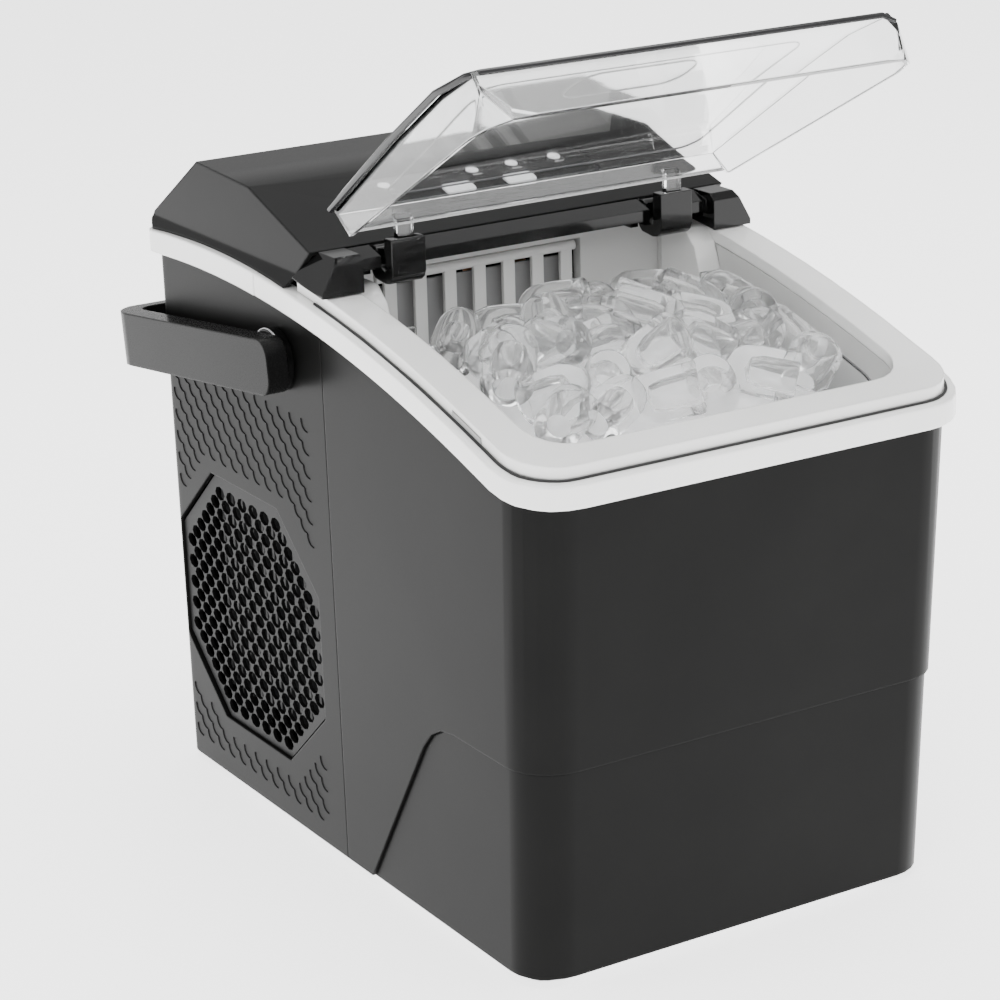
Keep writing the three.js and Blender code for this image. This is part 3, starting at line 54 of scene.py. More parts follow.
camera_data = bpy.data.cameras.new("camera")
camera_data.lens = LENS
camera_data.sensor_width = 36
camera = bpy.data.objects.new("camera", camera_data)
bpy.context.scene.collection.objects.link(camera)
camera.matrix_world = (
    Matrix.Translation(CAMERA_PLACE)
    @ Matrix.Rotation(CAMERA_TURN, 4, "Z")
    @ Matrix.Rotation(math.pi / 2 - CAMERA_DROP, 4, "X")
    @ Matrix.Rotation(CAMERA_LEAN, 4, "Z")
)
bpy.context.scene.camera = camera


# Housing shells
# The front shell, the lower front panel and the rear shell are moulded in charcoal ABS with a
# fine spark-eroded grain. They snap together, and a narrow shadow gap shows at each joint.
MERGE = 0.00001
SMOOTH_ANGLE = math.radians(38)
FLAT_ANGLE = math.radians(0.6)
ROUND_ANGLE = math.radians(42)
ROUND_STEPS = 3
DARK_BELOW = 0.3
LIGHT_ABOVE = 0.7
BUMP_STRENGTH = 0.5
SHELL_DARK = (0.0046, 0.0046, 0.0045)
SHELL_LIGHT = (0.0062, 0.0062, 0.0060)
SHELL_SHEEN = 0.07


def select_only(*pieces):
    bpy.ops.object.select_all(action="DESELECT")
    for piece in pieces:
        piece.select_set(True)
    bpy.context.view_layer.objects.active = pieces[0]


def apply_modifiers(piece):
    select_only(piece)
    for modifier in list(piece.modifiers):
        bpy.ops.object.modifier_apply(modifier=modifier.name)


def plastic(name, dark, light, rough, grain=1400, relief=0.00002, edge=0.0006, cloud=18):
    """A moulded finish: clouded colour, uneven gloss, a fine grain and softened edges."""
    material = bpy.data.materials.new(name)
    material.use_nodes = True
    nodes, links = material.node_tree.nodes, material.node_tree.links
    shader = nodes["Principled BSDF"]
    place = nodes.new("ShaderNodeTexCoord")
    clouds = nodes.new("ShaderNodeTexNoise")
    clouds.inputs["Scale"].default_value = cloud
    clouds.inputs["Detail"].default_value = 3
    tint = nodes.new("ShaderNodeValToRGB")
    tint.color_ramp.elements[0].position = DARK_BELOW
    tint.color_ramp.elements[0].color = (*dark, 1)
    tint.color_ramp.elements[1].position = LIGHT_ABOVE
    tint.color_ramp.elements[1].color = (*light, 1)
    speckle = nodes.new("ShaderNodeTexNoise")
    speckle.inputs["Scale"].default_value = grain
    speckle.inputs["Detail"].default_value = 2
    gloss = nodes.new("ShaderNodeMapRange")
    gloss.inputs["To Min"].default_value = rough[0]
    gloss.inputs["To Max"].default_value = rough[1]
    soft = nodes.new("ShaderNodeBevel")
    soft.samples = 4
    soft.inputs["Radius"].default_value = edge
    bump = nodes.new("ShaderNodeBump")
    bump.inputs["Strength"].default_value = BUMP_STRENGTH
    bump.inputs["Distance"].default_value = relief
    links.new(place.outputs["Object"], clouds.inputs["Vector"])
    links.new(place.outputs["Object"], speckle.inputs["Vector"])
    links.new(clouds.outputs["Fac"], tint.inputs["Fac"])
    links.new(tint.outputs["Color"], shader.inputs["Base Color"])
    links.new(speckle.outputs["Fac"], gloss.inputs["Value"])
    links.new(gloss.outputs["Result"], shader.inputs["Roughness"])
    links.new(speckle.outputs["Fac"], bump.inputs["Height"])
    links.new(soft.outputs["Normal"], bump.inputs["Normal"])
    links.new(bump.outputs["Normal"], shader.inputs["Normal"])
    return material


def shader_of(material):
    return material.node_tree.nodes["Principled BSDF"]


def dress(piece, material):
    """Gives a piece its finish."""
    piece.data.materials.clear()
    piece.data.materials.append(material)


def moulding(node, body, material, round_edges=0.0):
    """A smooth copy of a CAD part, with its triangles merged and its edges rounded."""
    piece = bpy.data.objects.new(node + "_moulding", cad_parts[node].data.copy())
    bpy.context.scene.collection.objects.link(piece)
    select_only(piece)
    bpy.ops.object.mode_set(mode="EDIT")
    bpy.ops.mesh.select_all(action="SELECT")
    bpy.ops.mesh.remove_doubles(threshold=MERGE)
    bpy.ops.mesh.dissolve_limited(angle_limit=FLAT_ANGLE)
    bpy.ops.object.mode_set(mode="OBJECT")
    if round_edges:
        bevel = piece.modifiers.new("round", "BEVEL")
        bevel.width = round_edges
        bevel.segments = ROUND_STEPS
        bevel.limit_method = "ANGLE"
        bevel.angle_limit = ROUND_ANGLE
    apply_modifiers(piece)
    bpy.ops.object.shade_smooth_by_angle(angle=SMOOTH_ANGLE)
    weighted = piece.modifiers.new("weighted", "WEIGHTED_NORMAL")
    weighted.keep_sharp = True
    apply_modifiers(piece)
    dress(piece, material)
    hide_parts(node)
    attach(piece, body)
    return piece


shell_black = plastic("shell_black", SHELL_DARK, SHELL_LIGHT, (0.30, 0.40), edge=0.0012)
shader_of(shell_black).inputs["Specular IOR Level"].default_value = SHELL_SHEEN
moulding("front_shell", "housing", shell_black)
moulding("lower_front_panel", "housing", shell_black)
rear_shell = moulding("rear_shell", "housing", shell_black)


# Scale relief
# Rows of small raised crescents cover the rear half of each side wall, outside the grille.
# They are part of the moulding and stand about half a millimetre proud; their darker black is
# painted shadow.
CELL_PITCH = 0.0111
CELL_ROW = 0.00535
SCALE_R = 0.0048
SCALE_WIRE = 0.00045
SCALE_CHORD = 0.0023
SCALE_FIELD_LOW = (0.011, 0.014)
SCALE_FIELD_HIGH = (0.146, 0.204)
SCALE_SMOOTH = math.radians(60)
FIELD_COLUMNS = 14
FIELD_ROWS = 20
FIELD_MARGIN = 0.004
VENT_CENTRE = (0.078, 0.0955)
VENT_HALF = (0.073, 0.0655)
VENT_CUT = (0.038, 0.034)


WALL_PROBE = (-0.4, 0.14)
WALL_LOW_Z = 0.020
WALL_HIGH_Z = 0.200


def side_x(shell, z):
    """Where the shell's left wall stands at height z."""
    start_x, y = WALL_PROBE
    _, place, _, _ = shell.ray_cast(Vector((start_x, y, z)), Vector((1, 0, 0)))
    return place.x


wall_low_x = side_x(rear_shell, WALL_LOW_Z)
wall_high_x = side_x(rear_shell, WALL_HIGH_Z)


def wall_x(z):
    """The left wall's place at height z, along its straight draft."""
    along = (z - WALL_LOW_Z) / (WALL_HIGH_Z - WALL_LOW_Z)
    return wall_low_x + (wall_high_x - wall_low_x) * along


def inside_octagon(y, z, grow):
    """Says whether a point lies in the grille's outline, grown by a margin."""
    across = abs(y - VENT_CENTRE[0])
    up = abs(z - VENT_CENTRE[1])
    half_y, half_z = VENT_HALF[0] + grow, VENT_HALF[1] + grow
    if across > half_y or up > half_z:
        return False
    spare = (across - (half_y - VENT_CUT[0])) / VENT_CUT[0]
    spare_up = (up - (half_z - VENT_CUT[1])) / VENT_CUT[1]
    return max(spare, 0) + max(spare_up, 0) <= 1


def stagger(piece, columns, rows, keep):
    """Repeats a small shape on a staggered lattice and drops the copies that keep refuses."""
    count = len(piece.data.vertices)
    across = piece.modifiers.new("across", "ARRAY")
    up = piece.modifiers.new("up", "ARRAY")
    for array, number, step in (
        (across, columns, (0, CELL_PITCH, 0)),
        (up, rows, (0, 0, 2 * CELL_ROW)),
    ):
        array.use_relative_offset = False
        array.use_constant_offset = True
        array.constant_offset_displace = step
        array.count = number
    apply_modifiers(piece)
    second = piece.copy()
    second.data = piece.data.copy()
    second.data.transform(Matrix.Translation((0, CELL_PITCH / 2, CELL_ROW)))
    bpy.context.scene.collection.objects.link(second)
    select_only(piece, second)
    bpy.ops.object.join()
    select_only(piece)
    bpy.ops.object.mode_set(mode="EDIT")
    bpy.ops.mesh.select_mode(type="VERT")
    bpy.ops.mesh.select_all(action="DESELECT")
    bpy.ops.object.mode_set(mode="OBJECT")
    vertices = piece.data.vertices
    for start in range(0, len(vertices), count):
        cell = [vertices[i] for i in range(start, start + count)]
        y = sum(v.co.y for v in cell) / count
        z = sum(v.co.z for v in cell) / count
        for v in cell:
            v.select = not keep(y, z)
    bpy.ops.object.mode_set(mode="EDIT")
    bpy.ops.mesh.delete(type="VERT")
    bpy.ops.object.mode_set(mode="OBJECT")


def mirrored(piece, name):
    """The same shape on the machine's right side."""
    other = bpy.data.objects.new(name, piece.data.copy())
    bpy.context.scene.collection.objects.link(other)
    other.data.transform(Matrix.Scale(-1, 4, (1, 0, 0)))
    select_only(other)
    bpy.ops.object.mode_set(mode="EDIT")
    bpy.ops.mesh.select_all(action="SELECT")
    bpy.ops.mesh.flip_normals()
    bpy.ops.object.mode_set(mode="OBJECT")
    return other


def in_scale_field(y, z):
    low_y, low_z = SCALE_FIELD_LOW
    high_y, high_z = SCALE_FIELD_HIGH
    in_field = low_y < y < high_y and low_z < z < high_z
    return in_field and not inside_octagon(y, z, FIELD_MARGIN)


bpy.ops.object.select_all(action="DESELECT")
bpy.ops.mesh.primitive_torus_add(
    location=(0, SCALE_FIELD_LOW[0], SCALE_FIELD_LOW[1]),
    rotation=(0, math.pi / 2, 0),
    major_radius=SCALE_R,
    minor_radius=SCALE_WIRE,
    major_segments=24,
    minor_segments=4,
)
scales = bpy.context.active_object
scales.name = "scale_relief_left"
bpy.ops.object.transform_apply(location=True, rotation=True, scale=True)
bpy.ops.object.mode_set(mode="EDIT")
bpy.ops.mesh.select_all(action="SELECT")
bpy.ops.mesh.bisect(
    plane_co=(0, SCALE_FIELD_LOW[0] + SCALE_CHORD, SCALE_FIELD_LOW[1] - SCALE_CHORD),
    plane_no=(0, -1, 1),
    clear_outer=True,
    use_fill=True,
)
bpy.ops.object.mode_set(mode="OBJECT")
stagger(scales, FIELD_COLUMNS, FIELD_ROWS, in_scale_field)
for vertex in scales.data.vertices:
    vertex.co.x += wall_x(vertex.co.z)
bpy.ops.object.shade_smooth_by_angle(angle=SCALE_SMOOTH)
GRILLE_SHEEN = 0.15
# The crescents take this darker black as painted shadow; the grille plates share it.
grille_and_scale_shadow_black = plastic(
    "grille_and_scale_shadow_black", (0.0025, 0.0025, 0.0025), (0.004, 0.004, 0.004), (0.4, 0.5), edge=0.0002
)
shader_of(grille_and_scale_shadow_black).inputs["Specular IOR Level"].default_value = GRILLE_SHEEN
dress(scales, grille_and_scale_shadow_black)
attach(scales, "housing")
scales_right = mirrored(scales, "scale_relief_right")
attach(scales_right, "housing")


# Side grilles
# An eight-sided plate of fine staggered slots lets air through to the condenser. It sits a
# little below the wall, and its border is plain.
PLATE_SINK = 0.0016
PLATE_THICK = 0.0018
PLATE_GAP = 0.0043
SLOT_LONG = 0.0094
SLOT_HIGH = 0.0068
SLOT_MARGIN = -0.0085
SLOT_SIDES = 8
CUTTER_DEPTH = 0.02
CUTTER_Z = 0.1


def octagon_corners(grow):
    """The eight corners of the grille's outline, grown by a margin, in order round it."""
    half_y, half_z = VENT_HALF[0] + grow, VENT_HALF[1] + grow
    y, z = VENT_CENTRE
    flat_y, flat_z = half_y - VENT_CUT[0], half_z - VENT_CUT[1]
    quarter = [(half_y, flat_z), (flat_y, half_z), (-flat_y, half_z), (-half_y, flat_z)]
    half = quarter + [(-a, -b) for a, b in quarter]
    return [(y + a, z + b) for a, b in half]


bpy.ops.object.select_all(action="DESELECT")
bpy.ops.mesh.primitive_circle_add(vertices=8, radius=0.06, fill_type="NGON")
grille = bpy.context.active_object
grille.name = "grille_plate_left"
for vertex, (y, z) in zip(grille.data.vertices, octagon_corners(-PLATE_GAP)):
    vertex.co = (wall_x(z) + PLATE_SINK, y, z)
bpy.ops.object.mode_set(mode="EDIT")
bpy.ops.mesh.select_all(action="SELECT")
bpy.ops.mesh.extrude_region_move(TRANSFORM_OT_translate={"value": (PLATE_THICK, 0, 0)})
bpy.ops.mesh.select_all(action="SELECT")
bpy.ops.mesh.normals_make_consistent(inside=False)
bpy.ops.object.mode_set(mode="OBJECT")

bpy.ops.object.select_all(action="DESELECT")
bpy.ops.mesh.primitive_cylinder_add(
    vertices=SLOT_SIDES,
    radius=0.5,
    depth=CUTTER_DEPTH,
    location=(wall_x(CUTTER_Z), SCALE_FIELD_LOW[0], SCALE_FIELD_LOW[1]),
    rotation=(0, math.pi / 2, 0),
    scale=(SLOT_HIGH, SLOT_LONG, 1),
)
slots = bpy.context.active_object
bpy.ops.object.transform_apply(location=True, rotation=True, scale=True)
stagger(slots, FIELD_COLUMNS, FIELD_ROWS, lambda y, z: inside_octagon(y, z, SLOT_MARGIN))
cut = grille.modifiers.new("slots", "BOOLEAN")
cut.operation = "DIFFERENCE"
cut.solver = "MANIFOLD"
cut.object = slots
apply_modifiers(grille)
bpy.data.objects.remove(slots)
dress(grille, grille_and_scale_shadow_black)
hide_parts("side_grille_left")
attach(grille, "housing")
grille_right = mirrored(grille, "grille_plate_right")
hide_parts("side_grille_right")
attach(grille_right, "housing")


# Inner shade sheet
# A dark sheet behind the right-hand grille, where the air goes in, is painted shade inside the
# machine.
SHADE_SHEET_THICK = 0.0008
SHADE_SHEET_BEHIND = 0.0050
SHADE_SHEET_LESS_HIGH = 0.004
SHADE_SHEET_LESS_LONG = 0.012
SHADE_SHEET_CELLS = 8
right_low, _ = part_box("side_grille_right")
bpy.ops.object.select_all(action="DESELECT")
bpy.ops.mesh.primitive_grid_add(
    x_subdivisions=SHADE_SHEET_CELLS,
    y_subdivisions=SHADE_SHEET_CELLS,
    size=1,
    location=(right_low.x - SHADE_SHEET_BEHIND, VENT_CENTRE[0], VENT_CENTRE[1]),
    rotation=(0, math.pi / 2, 0),
)
inner_shade_sheet = bpy.context.active_object
inner_shade_sheet.name = "inner_shade_sheet"
inner_shade_sheet.scale = (
    2 * VENT_HALF[1] - SHADE_SHEET_LESS_HIGH,
    2 * VENT_HALF[0] - SHADE_SHEET_LESS_LONG,
    1,
)
bpy.ops.object.transform_apply(location=True, rotation=True, scale=True)
wall = inner_shade_sheet.modifiers.new("wall", "SOLIDIFY")
wall.thickness = SHADE_SHEET_THICK
apply_modifiers(inner_shade_sheet)
# This near-black sheet is painted shade, not a part of the machine.
inner_shade_black = plastic(
    "inner_shade_black", (0.008, 0.008, 0.008), (0.014, 0.014, 0.014), (0.7, 0.9), grain=2600,
    relief=0.0003
)
dress(inner_shade_sheet, inner_shade_black)
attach(inner_shade_sheet, "housing")


# White trim and bin rim
# A glossy white band runs round the top of the shells in two lengths, and the rim of the bin
# rests on it. A grey clip on each side holds the rim down.
TRIM_ROUND = 0.0014
RIM_ROUND = 0.0016
GLOSS_COAT = 0.4
GLOSS_COAT_ROUGH = 0.05
gloss_white = plastic(
    "gloss_white", (0.90, 0.90, 0.885), (0.94, 0.94, 0.93), (0.10, 0.16),
    relief=0.000004, edge=0.0015
)
shader_of(gloss_white).inputs["Coat Weight"].default_value = GLOSS_COAT
shader_of(gloss_white).inputs["Coat Roughness"].default_value = GLOSS_COAT_ROUGH
trim_front = moulding("trim_front", "housing", gloss_white, TRIM_ROUND)
moulding("trim_rear", "housing", gloss_white, TRIM_ROUND)
moulding("rim_frame", "housing", gloss_white, RIM_ROUND)
clip_grey = plastic("clip_grey", (0.40, 0.40, 0.40), (0.48, 0.48, 0.48), (0.3, 0.4))
for side in ("left", "right"):
    dress(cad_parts["rim_tab_" + side], clip_grey)


# Rim shade line
# A thin black cord lies in the angle between the rim of the bin and the trim, down both sides
# and round the front. It is painted shade at the joint, and shows as a dark line.
BEAD_SMOOTH = math.radians(50)
BEAD_END_SIDES = 16


def bead(name, points, thickness, material, body, closed=False):
    """A fine round bead that runs through points, made a mesh."""
    curve = bpy.data.curves.new(name, "CURVE")
    curve.dimensions = "3D"
    curve.bevel_depth = thickness
    curve.bevel_resolution = 2
    line = curve.splines.new("POLY")
    line.points.add(len(points) - 1)
    for point, place in zip(line.points, points):
        point.co = (*place, 1)
    line.use_cyclic_u = closed
    piece = bpy.data.objects.new(name, curve)
    bpy.context.scene.collection.objects.link(piece)
    select_only(piece)
    bpy.ops.object.convert(target="MESH")
    piece = bpy.context.active_object
    piece.name = name
    bpy.ops.object.mode_set(mode="EDIT")
    bpy.ops.mesh.select_all(action="SELECT")
    bpy.ops.mesh.remove_doubles(threshold=MERGE)
    bpy.ops.mesh.fill_holes(sides=BEAD_END_SIDES)
    bpy.ops.mesh.normals_make_consistent(inside=False)
    bpy.ops.object.mode_set(mode="OBJECT")
    bpy.ops.object.shade_smooth_by_angle(angle=BEAD_SMOOTH)
    dress(piece, material)
    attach(piece, body)
    return piece


# The feet and hose are rubber; the same black also draws the painted shade line at the rim.
rubber = plastic("rubber", (0.006, 0.006, 0.006), (0.010, 0.010, 0.010), (0.5, 0.65), grain=900)
SHADE_LINE_R = 0.0007
SHADE_LINE_OUT = 0.0007
SHADE_LINE_CORNER = 0.0225
SHADE_LINE_CORNER_STEP = 10
SHADE_LINE_LIFT = 0.3
SHADE_LINE_SIDE_Y = (-0.004, -0.045, -0.09, -0.125)
SHADE_LINE_SIDE_BAND = 0.001
OVERHEAD_Z = 0.4
rim_low, rim_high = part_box("rim_frame")
shade_line_plan = [(-rim_high.x, y) for y in SHADE_LINE_SIDE_Y]
for turn in range(0, 91, SHADE_LINE_CORNER_STEP):
    a = math.radians(180 + turn)
    shade_line_plan.append((
        -rim_high.x + SHADE_LINE_CORNER + SHADE_LINE_CORNER * math.cos(a),
        rim_low.y + SHADE_LINE_CORNER + SHADE_LINE_CORNER * math.sin(a),
    ))
shade_line_plan += [(-x, y) for x, y in reversed(shade_line_plan)]
shade_line = []
for x, y in shade_line_plan:
    out_x = x * (1 + SHADE_LINE_OUT / rim_high.x)
    out_y = y - (SHADE_LINE_OUT if abs(x) < rim_high.x - SHADE_LINE_SIDE_BAND else 0)
    _, place, _, _ = trim_front.ray_cast(Vector((out_x, out_y, OVERHEAD_Z)), Vector((0, 0, -1)))
    shade_line.append((out_x, out_y, place.z + SHADE_LINE_R * SHADE_LINE_LIFT))
# This black cord is painted shade in the joint between rim and trim.
bead("rim_shade_line", shade_line, SHADE_LINE_R, rubber, "housing")


# Bin
# The white-grey tub catches the melt water under the basket. At its rear hang the raking bars
# that sweep fresh ice forward, with a grey sheet of painted shade behind them.
liner_grey = plastic(
    "liner_grey", (0.62, 0.62, 0.61), (0.70, 0.70, 0.69), (0.28, 0.38), relief=0.00001
)
rake_white = plastic(
    "rake_white", (0.70, 0.70, 0.69), (0.78, 0.78, 0.77), (0.25, 0.35), relief=0.00001
)
moulding("reservoir_tub", "housing", liner_grey)
dress(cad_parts["ice_rake"], rake_white)
dress(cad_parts["ice_chute"], liner_grey)

BACK_SHADE_THICK = 0.0012
BACK_SHADE_DROP = 0.003
BACK_SHADE_LESS_WIDE = 0.006
BACK_SHADE_LESS_HIGH = 0.008
BACK_SHADE_EDGE = 0.0004
rake_low, rake_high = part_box("ice_rake")
bpy.ops.object.select_all(action="DESELECT")
bpy.ops.mesh.primitive_cube_add(
    size=1,
    location=(
        (rake_low.x + rake_high.x) / 2,
        rake_high.y + BACK_SHADE_THICK,
        (rake_low.z + rake_high.z) / 2 - BACK_SHADE_DROP,
    ),
    scale=(
        rake_high.x - rake_low.x - BACK_SHADE_LESS_WIDE,
        BACK_SHADE_THICK,
        rake_high.z - rake_low.z - BACK_SHADE_LESS_HIGH,
    ),
)
rake_back_shade = bpy.context.active_object
rake_back_shade.name = "rake_back_shade_sheet"
bpy.ops.object.transform_apply(location=True, rotation=True, scale=True)
bpy.ops.object.mode_set(mode="EDIT")
bpy.ops.mesh.select_all(action="SELECT")
bpy.ops.mesh.bevel(offset=BACK_SHADE_EDGE, segments=2, affect="EDGES")
bpy.ops.object.mode_set(mode="OBJECT")
# This grey sheet is painted shade at the back of the bin.
rake_back_painted_shade = plastic("rake_back_painted_shade", (0.25, 0.25, 0.25), (0.32, 0.32, 0.32), (0.4, 0.5))
dress(rake_back_shade, rake_back_painted_shade)
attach(rake_back_shade, "rake")


# Basket
# A clear polystyrene basket lifts out of the bin with the ice in it. Its front wall dips at
# the middle for the fingers.
BASKET_ROUND = 0.0006
BASKET_IOR = 1.35


def clear_plastic(name, tint, rough, ior):
    """Clear moulded plastic: a faint tint, slight flow ripples and uneven gloss."""
    material = plastic(name, tint, (1, 1, 1), rough, grain=220, relief=0.000003, edge=0.0005)
    shader = shader_of(material)
    shader.inputs["Transmission Weight"].default_value = 1.0
    shader.inputs["IOR"].default_value = ior
    return material


basket_clear = clear_plastic("basket_clear", (0.93, 0.94, 0.94), (0.02, 0.06), BASKET_IOR)
basket = moulding("ice_basket", "basket", basket_clear, BASKET_ROUND)

# The basket's top edge looks grey through its thickness, so a fine grey bead of painted shade
# lies along it.
BASKET_CORNER = 0.018
BASKET_CORNER_STEP = 9
BASKET_SIDE_MM = range(-36, -134, -8)
BASKET_FRONT_MM = range(-60, 0, 5)
EDGE_LINE_R = 0.00045
EDGE_LINE_LIFT = 0.0002
EDGE_INSET = 0.0010
WALL_LEAST_HIGH = 0.06
edge_painted_shade = plastic("edge_painted_shade", (0.10, 0.10, 0.105), (0.16, 0.16, 0.165), (0.1, 0.2))
basket_low, basket_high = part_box("ice_basket")
edge_x, edge_y = basket_high.x - EDGE_INSET, basket_low.y + EDGE_INSET
basket_plan = [(-edge_x, y / 1000) for y in BASKET_SIDE_MM]
for turn in range(0, 91, BASKET_CORNER_STEP):
    a = math.radians(180 + turn)
    basket_plan.append((
        -edge_x + BASKET_CORNER * (1 + math.cos(a)),
        edge_y + BASKET_CORNER * (1 + math.sin(a)),
    ))
basket_plan += [(x / 1000, edge_y) for x in BASKET_FRONT_MM]
basket_plan += [(-x, y) for x, y in reversed(basket_plan)]
basket_edge = []
for x, y in basket_plan:
    hit, place, _, _ = basket.ray_cast(Vector((x, y, OVERHEAD_Z)), Vector((0, 0, -1)))
    if hit and place.z > basket_low.z + WALL_LEAST_HIGH:
        basket_edge.append((x, y, place.z + EDGE_LINE_LIFT))
bead("basket_edge_line", basket_edge, EDGE_LINE_R, edge_painted_shade, "basket")


# Ice
# Each piece froze round a cold finger, so it is a hollow bullet, open at one end. One layer
# lies in every direction on a bed of packed ice, which is white and has a painted glow.
# The profile is radius and height in millimetres: the outside first, then the hollow.
BULLET_PROFILE = [
    (0.0, 15.6), (4.6, 14.7), (8.2, 11.8), (10.2, 7.2), (10.7, 1.0), (11.0, -13.6),
    (10.7, -14.8), (10.0, -15.3), (6.8, -15.3), (6.0, -14.6), (5.4, 0.0), (4.2, 4.6), (0.0, 6.6),
]
BULLET_SIDES = 24
BULLET_MERGE = 0.0002
ICE_CREST_Z = 0.2560
ICE_CREST_Y = -0.078
ICE_SIDE_FALL = 0.012
ICE_FRONT_FALL = 0.024
ICE_REAR_FALL = 0.004
ICE_PITCH = 0.0215
ICE_ACROSS = 1.12
ICE_ALONG = 0.98
ICE_FIRST = (0.0145, 0.0135)
ICE_LAST = (0.0135, 0.012)
ICE_STRAY = 0.0022
ICE_RISE = (-0.003, 0.004)
ICE_TILTS = (62, 78, 90, 98, 108)
ICE_TILT_STRAY = 6
ICE_SIZES = (0.94, 1.08)
ICE_SEED = 11
ICE_SMOOTH = math.radians(48)
ICE_IOR = 1.24
ICE_CLEARNESS = 0.93
BED_SINK = 0.015
BED_PAINTED_GLOW = 0.5

ice_clear = clear_plastic("ice_clear", (0.985, 0.99, 0.99), (0.02, 0.05), ICE_IOR)
shader_of(ice_clear).inputs["Transmission Weight"].default_value = ICE_CLEARNESS
ice_bed_painted_glow = plastic(
    "ice_bed_painted_glow", (0.72, 0.73, 0.74), (0.95, 0.95, 0.96), (0.15, 0.4), grain=120,
    relief=0.0012, cloud=90
)
# The bed's glow is painted light.
shader_of(ice_bed_painted_glow).inputs["Emission Color"].default_value = (1, 1, 1, 1)
shader_of(ice_bed_painted_glow).inputs["Emission Strength"].default_value = BED_PAINTED_GLOW


def bullet_template():
    """One piece of ice, standing at the origin: its profile spun round its axis."""
    mesh = bpy.data.meshes.new("bullet")
    points = [(r / 1000, 0, z / 1000) for r, z in BULLET_PROFILE]
    mesh.from_pydata(points, [(i, i + 1) for i in range(len(points) - 1)], [])
    piece = bpy.data.objects.new("bullet", mesh)
    bpy.context.scene.collection.objects.link(piece)
    select_only(piece)
    bpy.ops.object.mode_set(mode="EDIT")
    bpy.ops.mesh.select_all(action="SELECT")
    bpy.ops.mesh.spin(steps=BULLET_SIDES, angle=2 * math.pi, center=(0, 0, 0), axis=(0, 0, 1))
    bpy.ops.mesh.select_all(action="SELECT")
    bpy.ops.mesh.remove_doubles(threshold=BULLET_MERGE)
    bpy.ops.mesh.normals_make_consistent(inside=False)
    bpy.ops.object.mode_set(mode="OBJECT")
    return piece


ice_low, ice_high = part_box("ice_load")


def ice_height(x, y):
    """The height of the heap's surface, which falls from its crest to the walls."""
    side = (x / ice_high.x) ** 2
    forward = ((y - ICE_CREST_Y) / (ice_low.y - ICE_CREST_Y)) ** 2
    fall = ICE_FRONT_FALL if y < ICE_CREST_Y else ICE_REAR_FALL
    return ICE_CREST_Z - ICE_SIDE_FALL * side - fall * forward


chance = random.Random(ICE_SEED)
bullet = bullet_template()
bullets = []
row = 0
y = ice_low.y + ICE_FIRST[1]
while y < ice_high.y - ICE_LAST[1]:
    x = ice_low.x + ICE_FIRST[0] + (row % 2) * ICE_PITCH / 2
    while x < ice_high.x - ICE_LAST[0]:
        place = Vector((
            x + chance.uniform(-ICE_STRAY, ICE_STRAY),
            y + chance.uniform(-ICE_STRAY, ICE_STRAY),
            0,
        ))
        place.z = ice_height(place.x, place.y) + chance.uniform(*ICE_RISE)
        stray = chance.choice(ICE_TILTS) + chance.uniform(-ICE_TILT_STRAY, ICE_TILT_STRAY)
        tilt = math.radians(stray)
        turn = math.radians(chance.uniform(0, 360))
        size = chance.uniform(*ICE_SIZES)
        copy = bpy.data.objects.new("ice", bullet.data.copy())
        copy.data.transform(
            Matrix.Translation(place)
            @ Matrix.Rotation(turn, 4, "Z")
            @ Matrix.Rotation(tilt, 4, "X")
            @ Matrix.Scale(size, 4)
        )
        bpy.context.scene.collection.objects.link(copy)
        bullets.append(copy)
        x += ICE_PITCH * ICE_ACROSS
    y += ICE_PITCH * ICE_ALONG
    row += 1
bpy.data.objects.remove(bullet)
select_only(*bullets)
bpy.ops.object.join()
ice = bpy.context.active_object
ice.name = "ice_bullets"
bpy.ops.object.shade_smooth_by_angle(angle=ICE_SMOOTH)
dress(ice, ice_clear)
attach(ice, "basket")

ice_bed = bpy.data.objects.new("ice_bed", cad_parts["ice_load"].data.copy())
bpy.context.scene.collection.objects.link(ice_bed)
select_only(ice_bed)
bpy.ops.object.mode_set(mode="EDIT")
bpy.ops.mesh.select_all(action="SELECT")
bpy.ops.mesh.remove_doubles(threshold=MERGE)
bpy.ops.object.mode_set(mode="OBJECT")
bed_scale = (ice_high.z - ice_low.z - BED_SINK) / (ice_high.z - ice_low.z)
for vertex in ice_bed.data.vertices:
    vertex.co.z = ice_low.z + (vertex.co.z - ice_low.z) * bed_scale
bpy.ops.object.shade_smooth_by_angle(angle=SMOOTH_ANGLE)
dress(ice_bed, ice_bed_painted_glow)
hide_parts("ice_load")
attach(ice_bed, "basket")


# Top cover and control panel
# The cover is the same charcoal plastic, a shade lighter. A gloss black panel is let into its
# slope, with four lamps and two white keys.
COVER_SHEEN = 0.10
PANEL_SHEEN = 0.14
LAMP_GLOW_AND_KEY_PAINTED_GLOW = 0.35
LAMPS = range(1, 5)
cover_black = plastic(
    "cover_black", (0.006, 0.006, 0.006), (0.008, 0.008, 0.0078), (0.28, 0.36), edge=0.0015
)
shader_of(cover_black).inputs["Specular IOR Level"].default_value = COVER_SHEEN
moulding("top_cover", "housing", cover_black)
panel_black = plastic(
    "panel_black", (0.006, 0.006, 0.006), (0.009, 0.009, 0.009), (0.16, 0.22), relief=0.000004
)
shader_of(panel_black).inputs["Specular IOR Level"].default_value = PANEL_SHEEN
dress(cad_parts["control_fascia"], panel_black)
lamp_white = plastic("lamp_white", (0.85, 0.86, 0.88), (0.95, 0.96, 0.97), (0.2, 0.3))
shader_of(lamp_white).inputs["Emission Color"].default_value = (1, 1, 1, 1)
shader_of(lamp_white).inputs["Emission Strength"].default_value = LAMP_GLOW_AND_KEY_PAINTED_GLOW
for lamp in LAMPS:
    dress(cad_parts["lamp_%d" % lamp], lamp_white)
# The two keys are not lamps, so their glow is painted light.
for key in ("button_power", "button_ice_size"):
    dress(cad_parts[key], lamp_white)

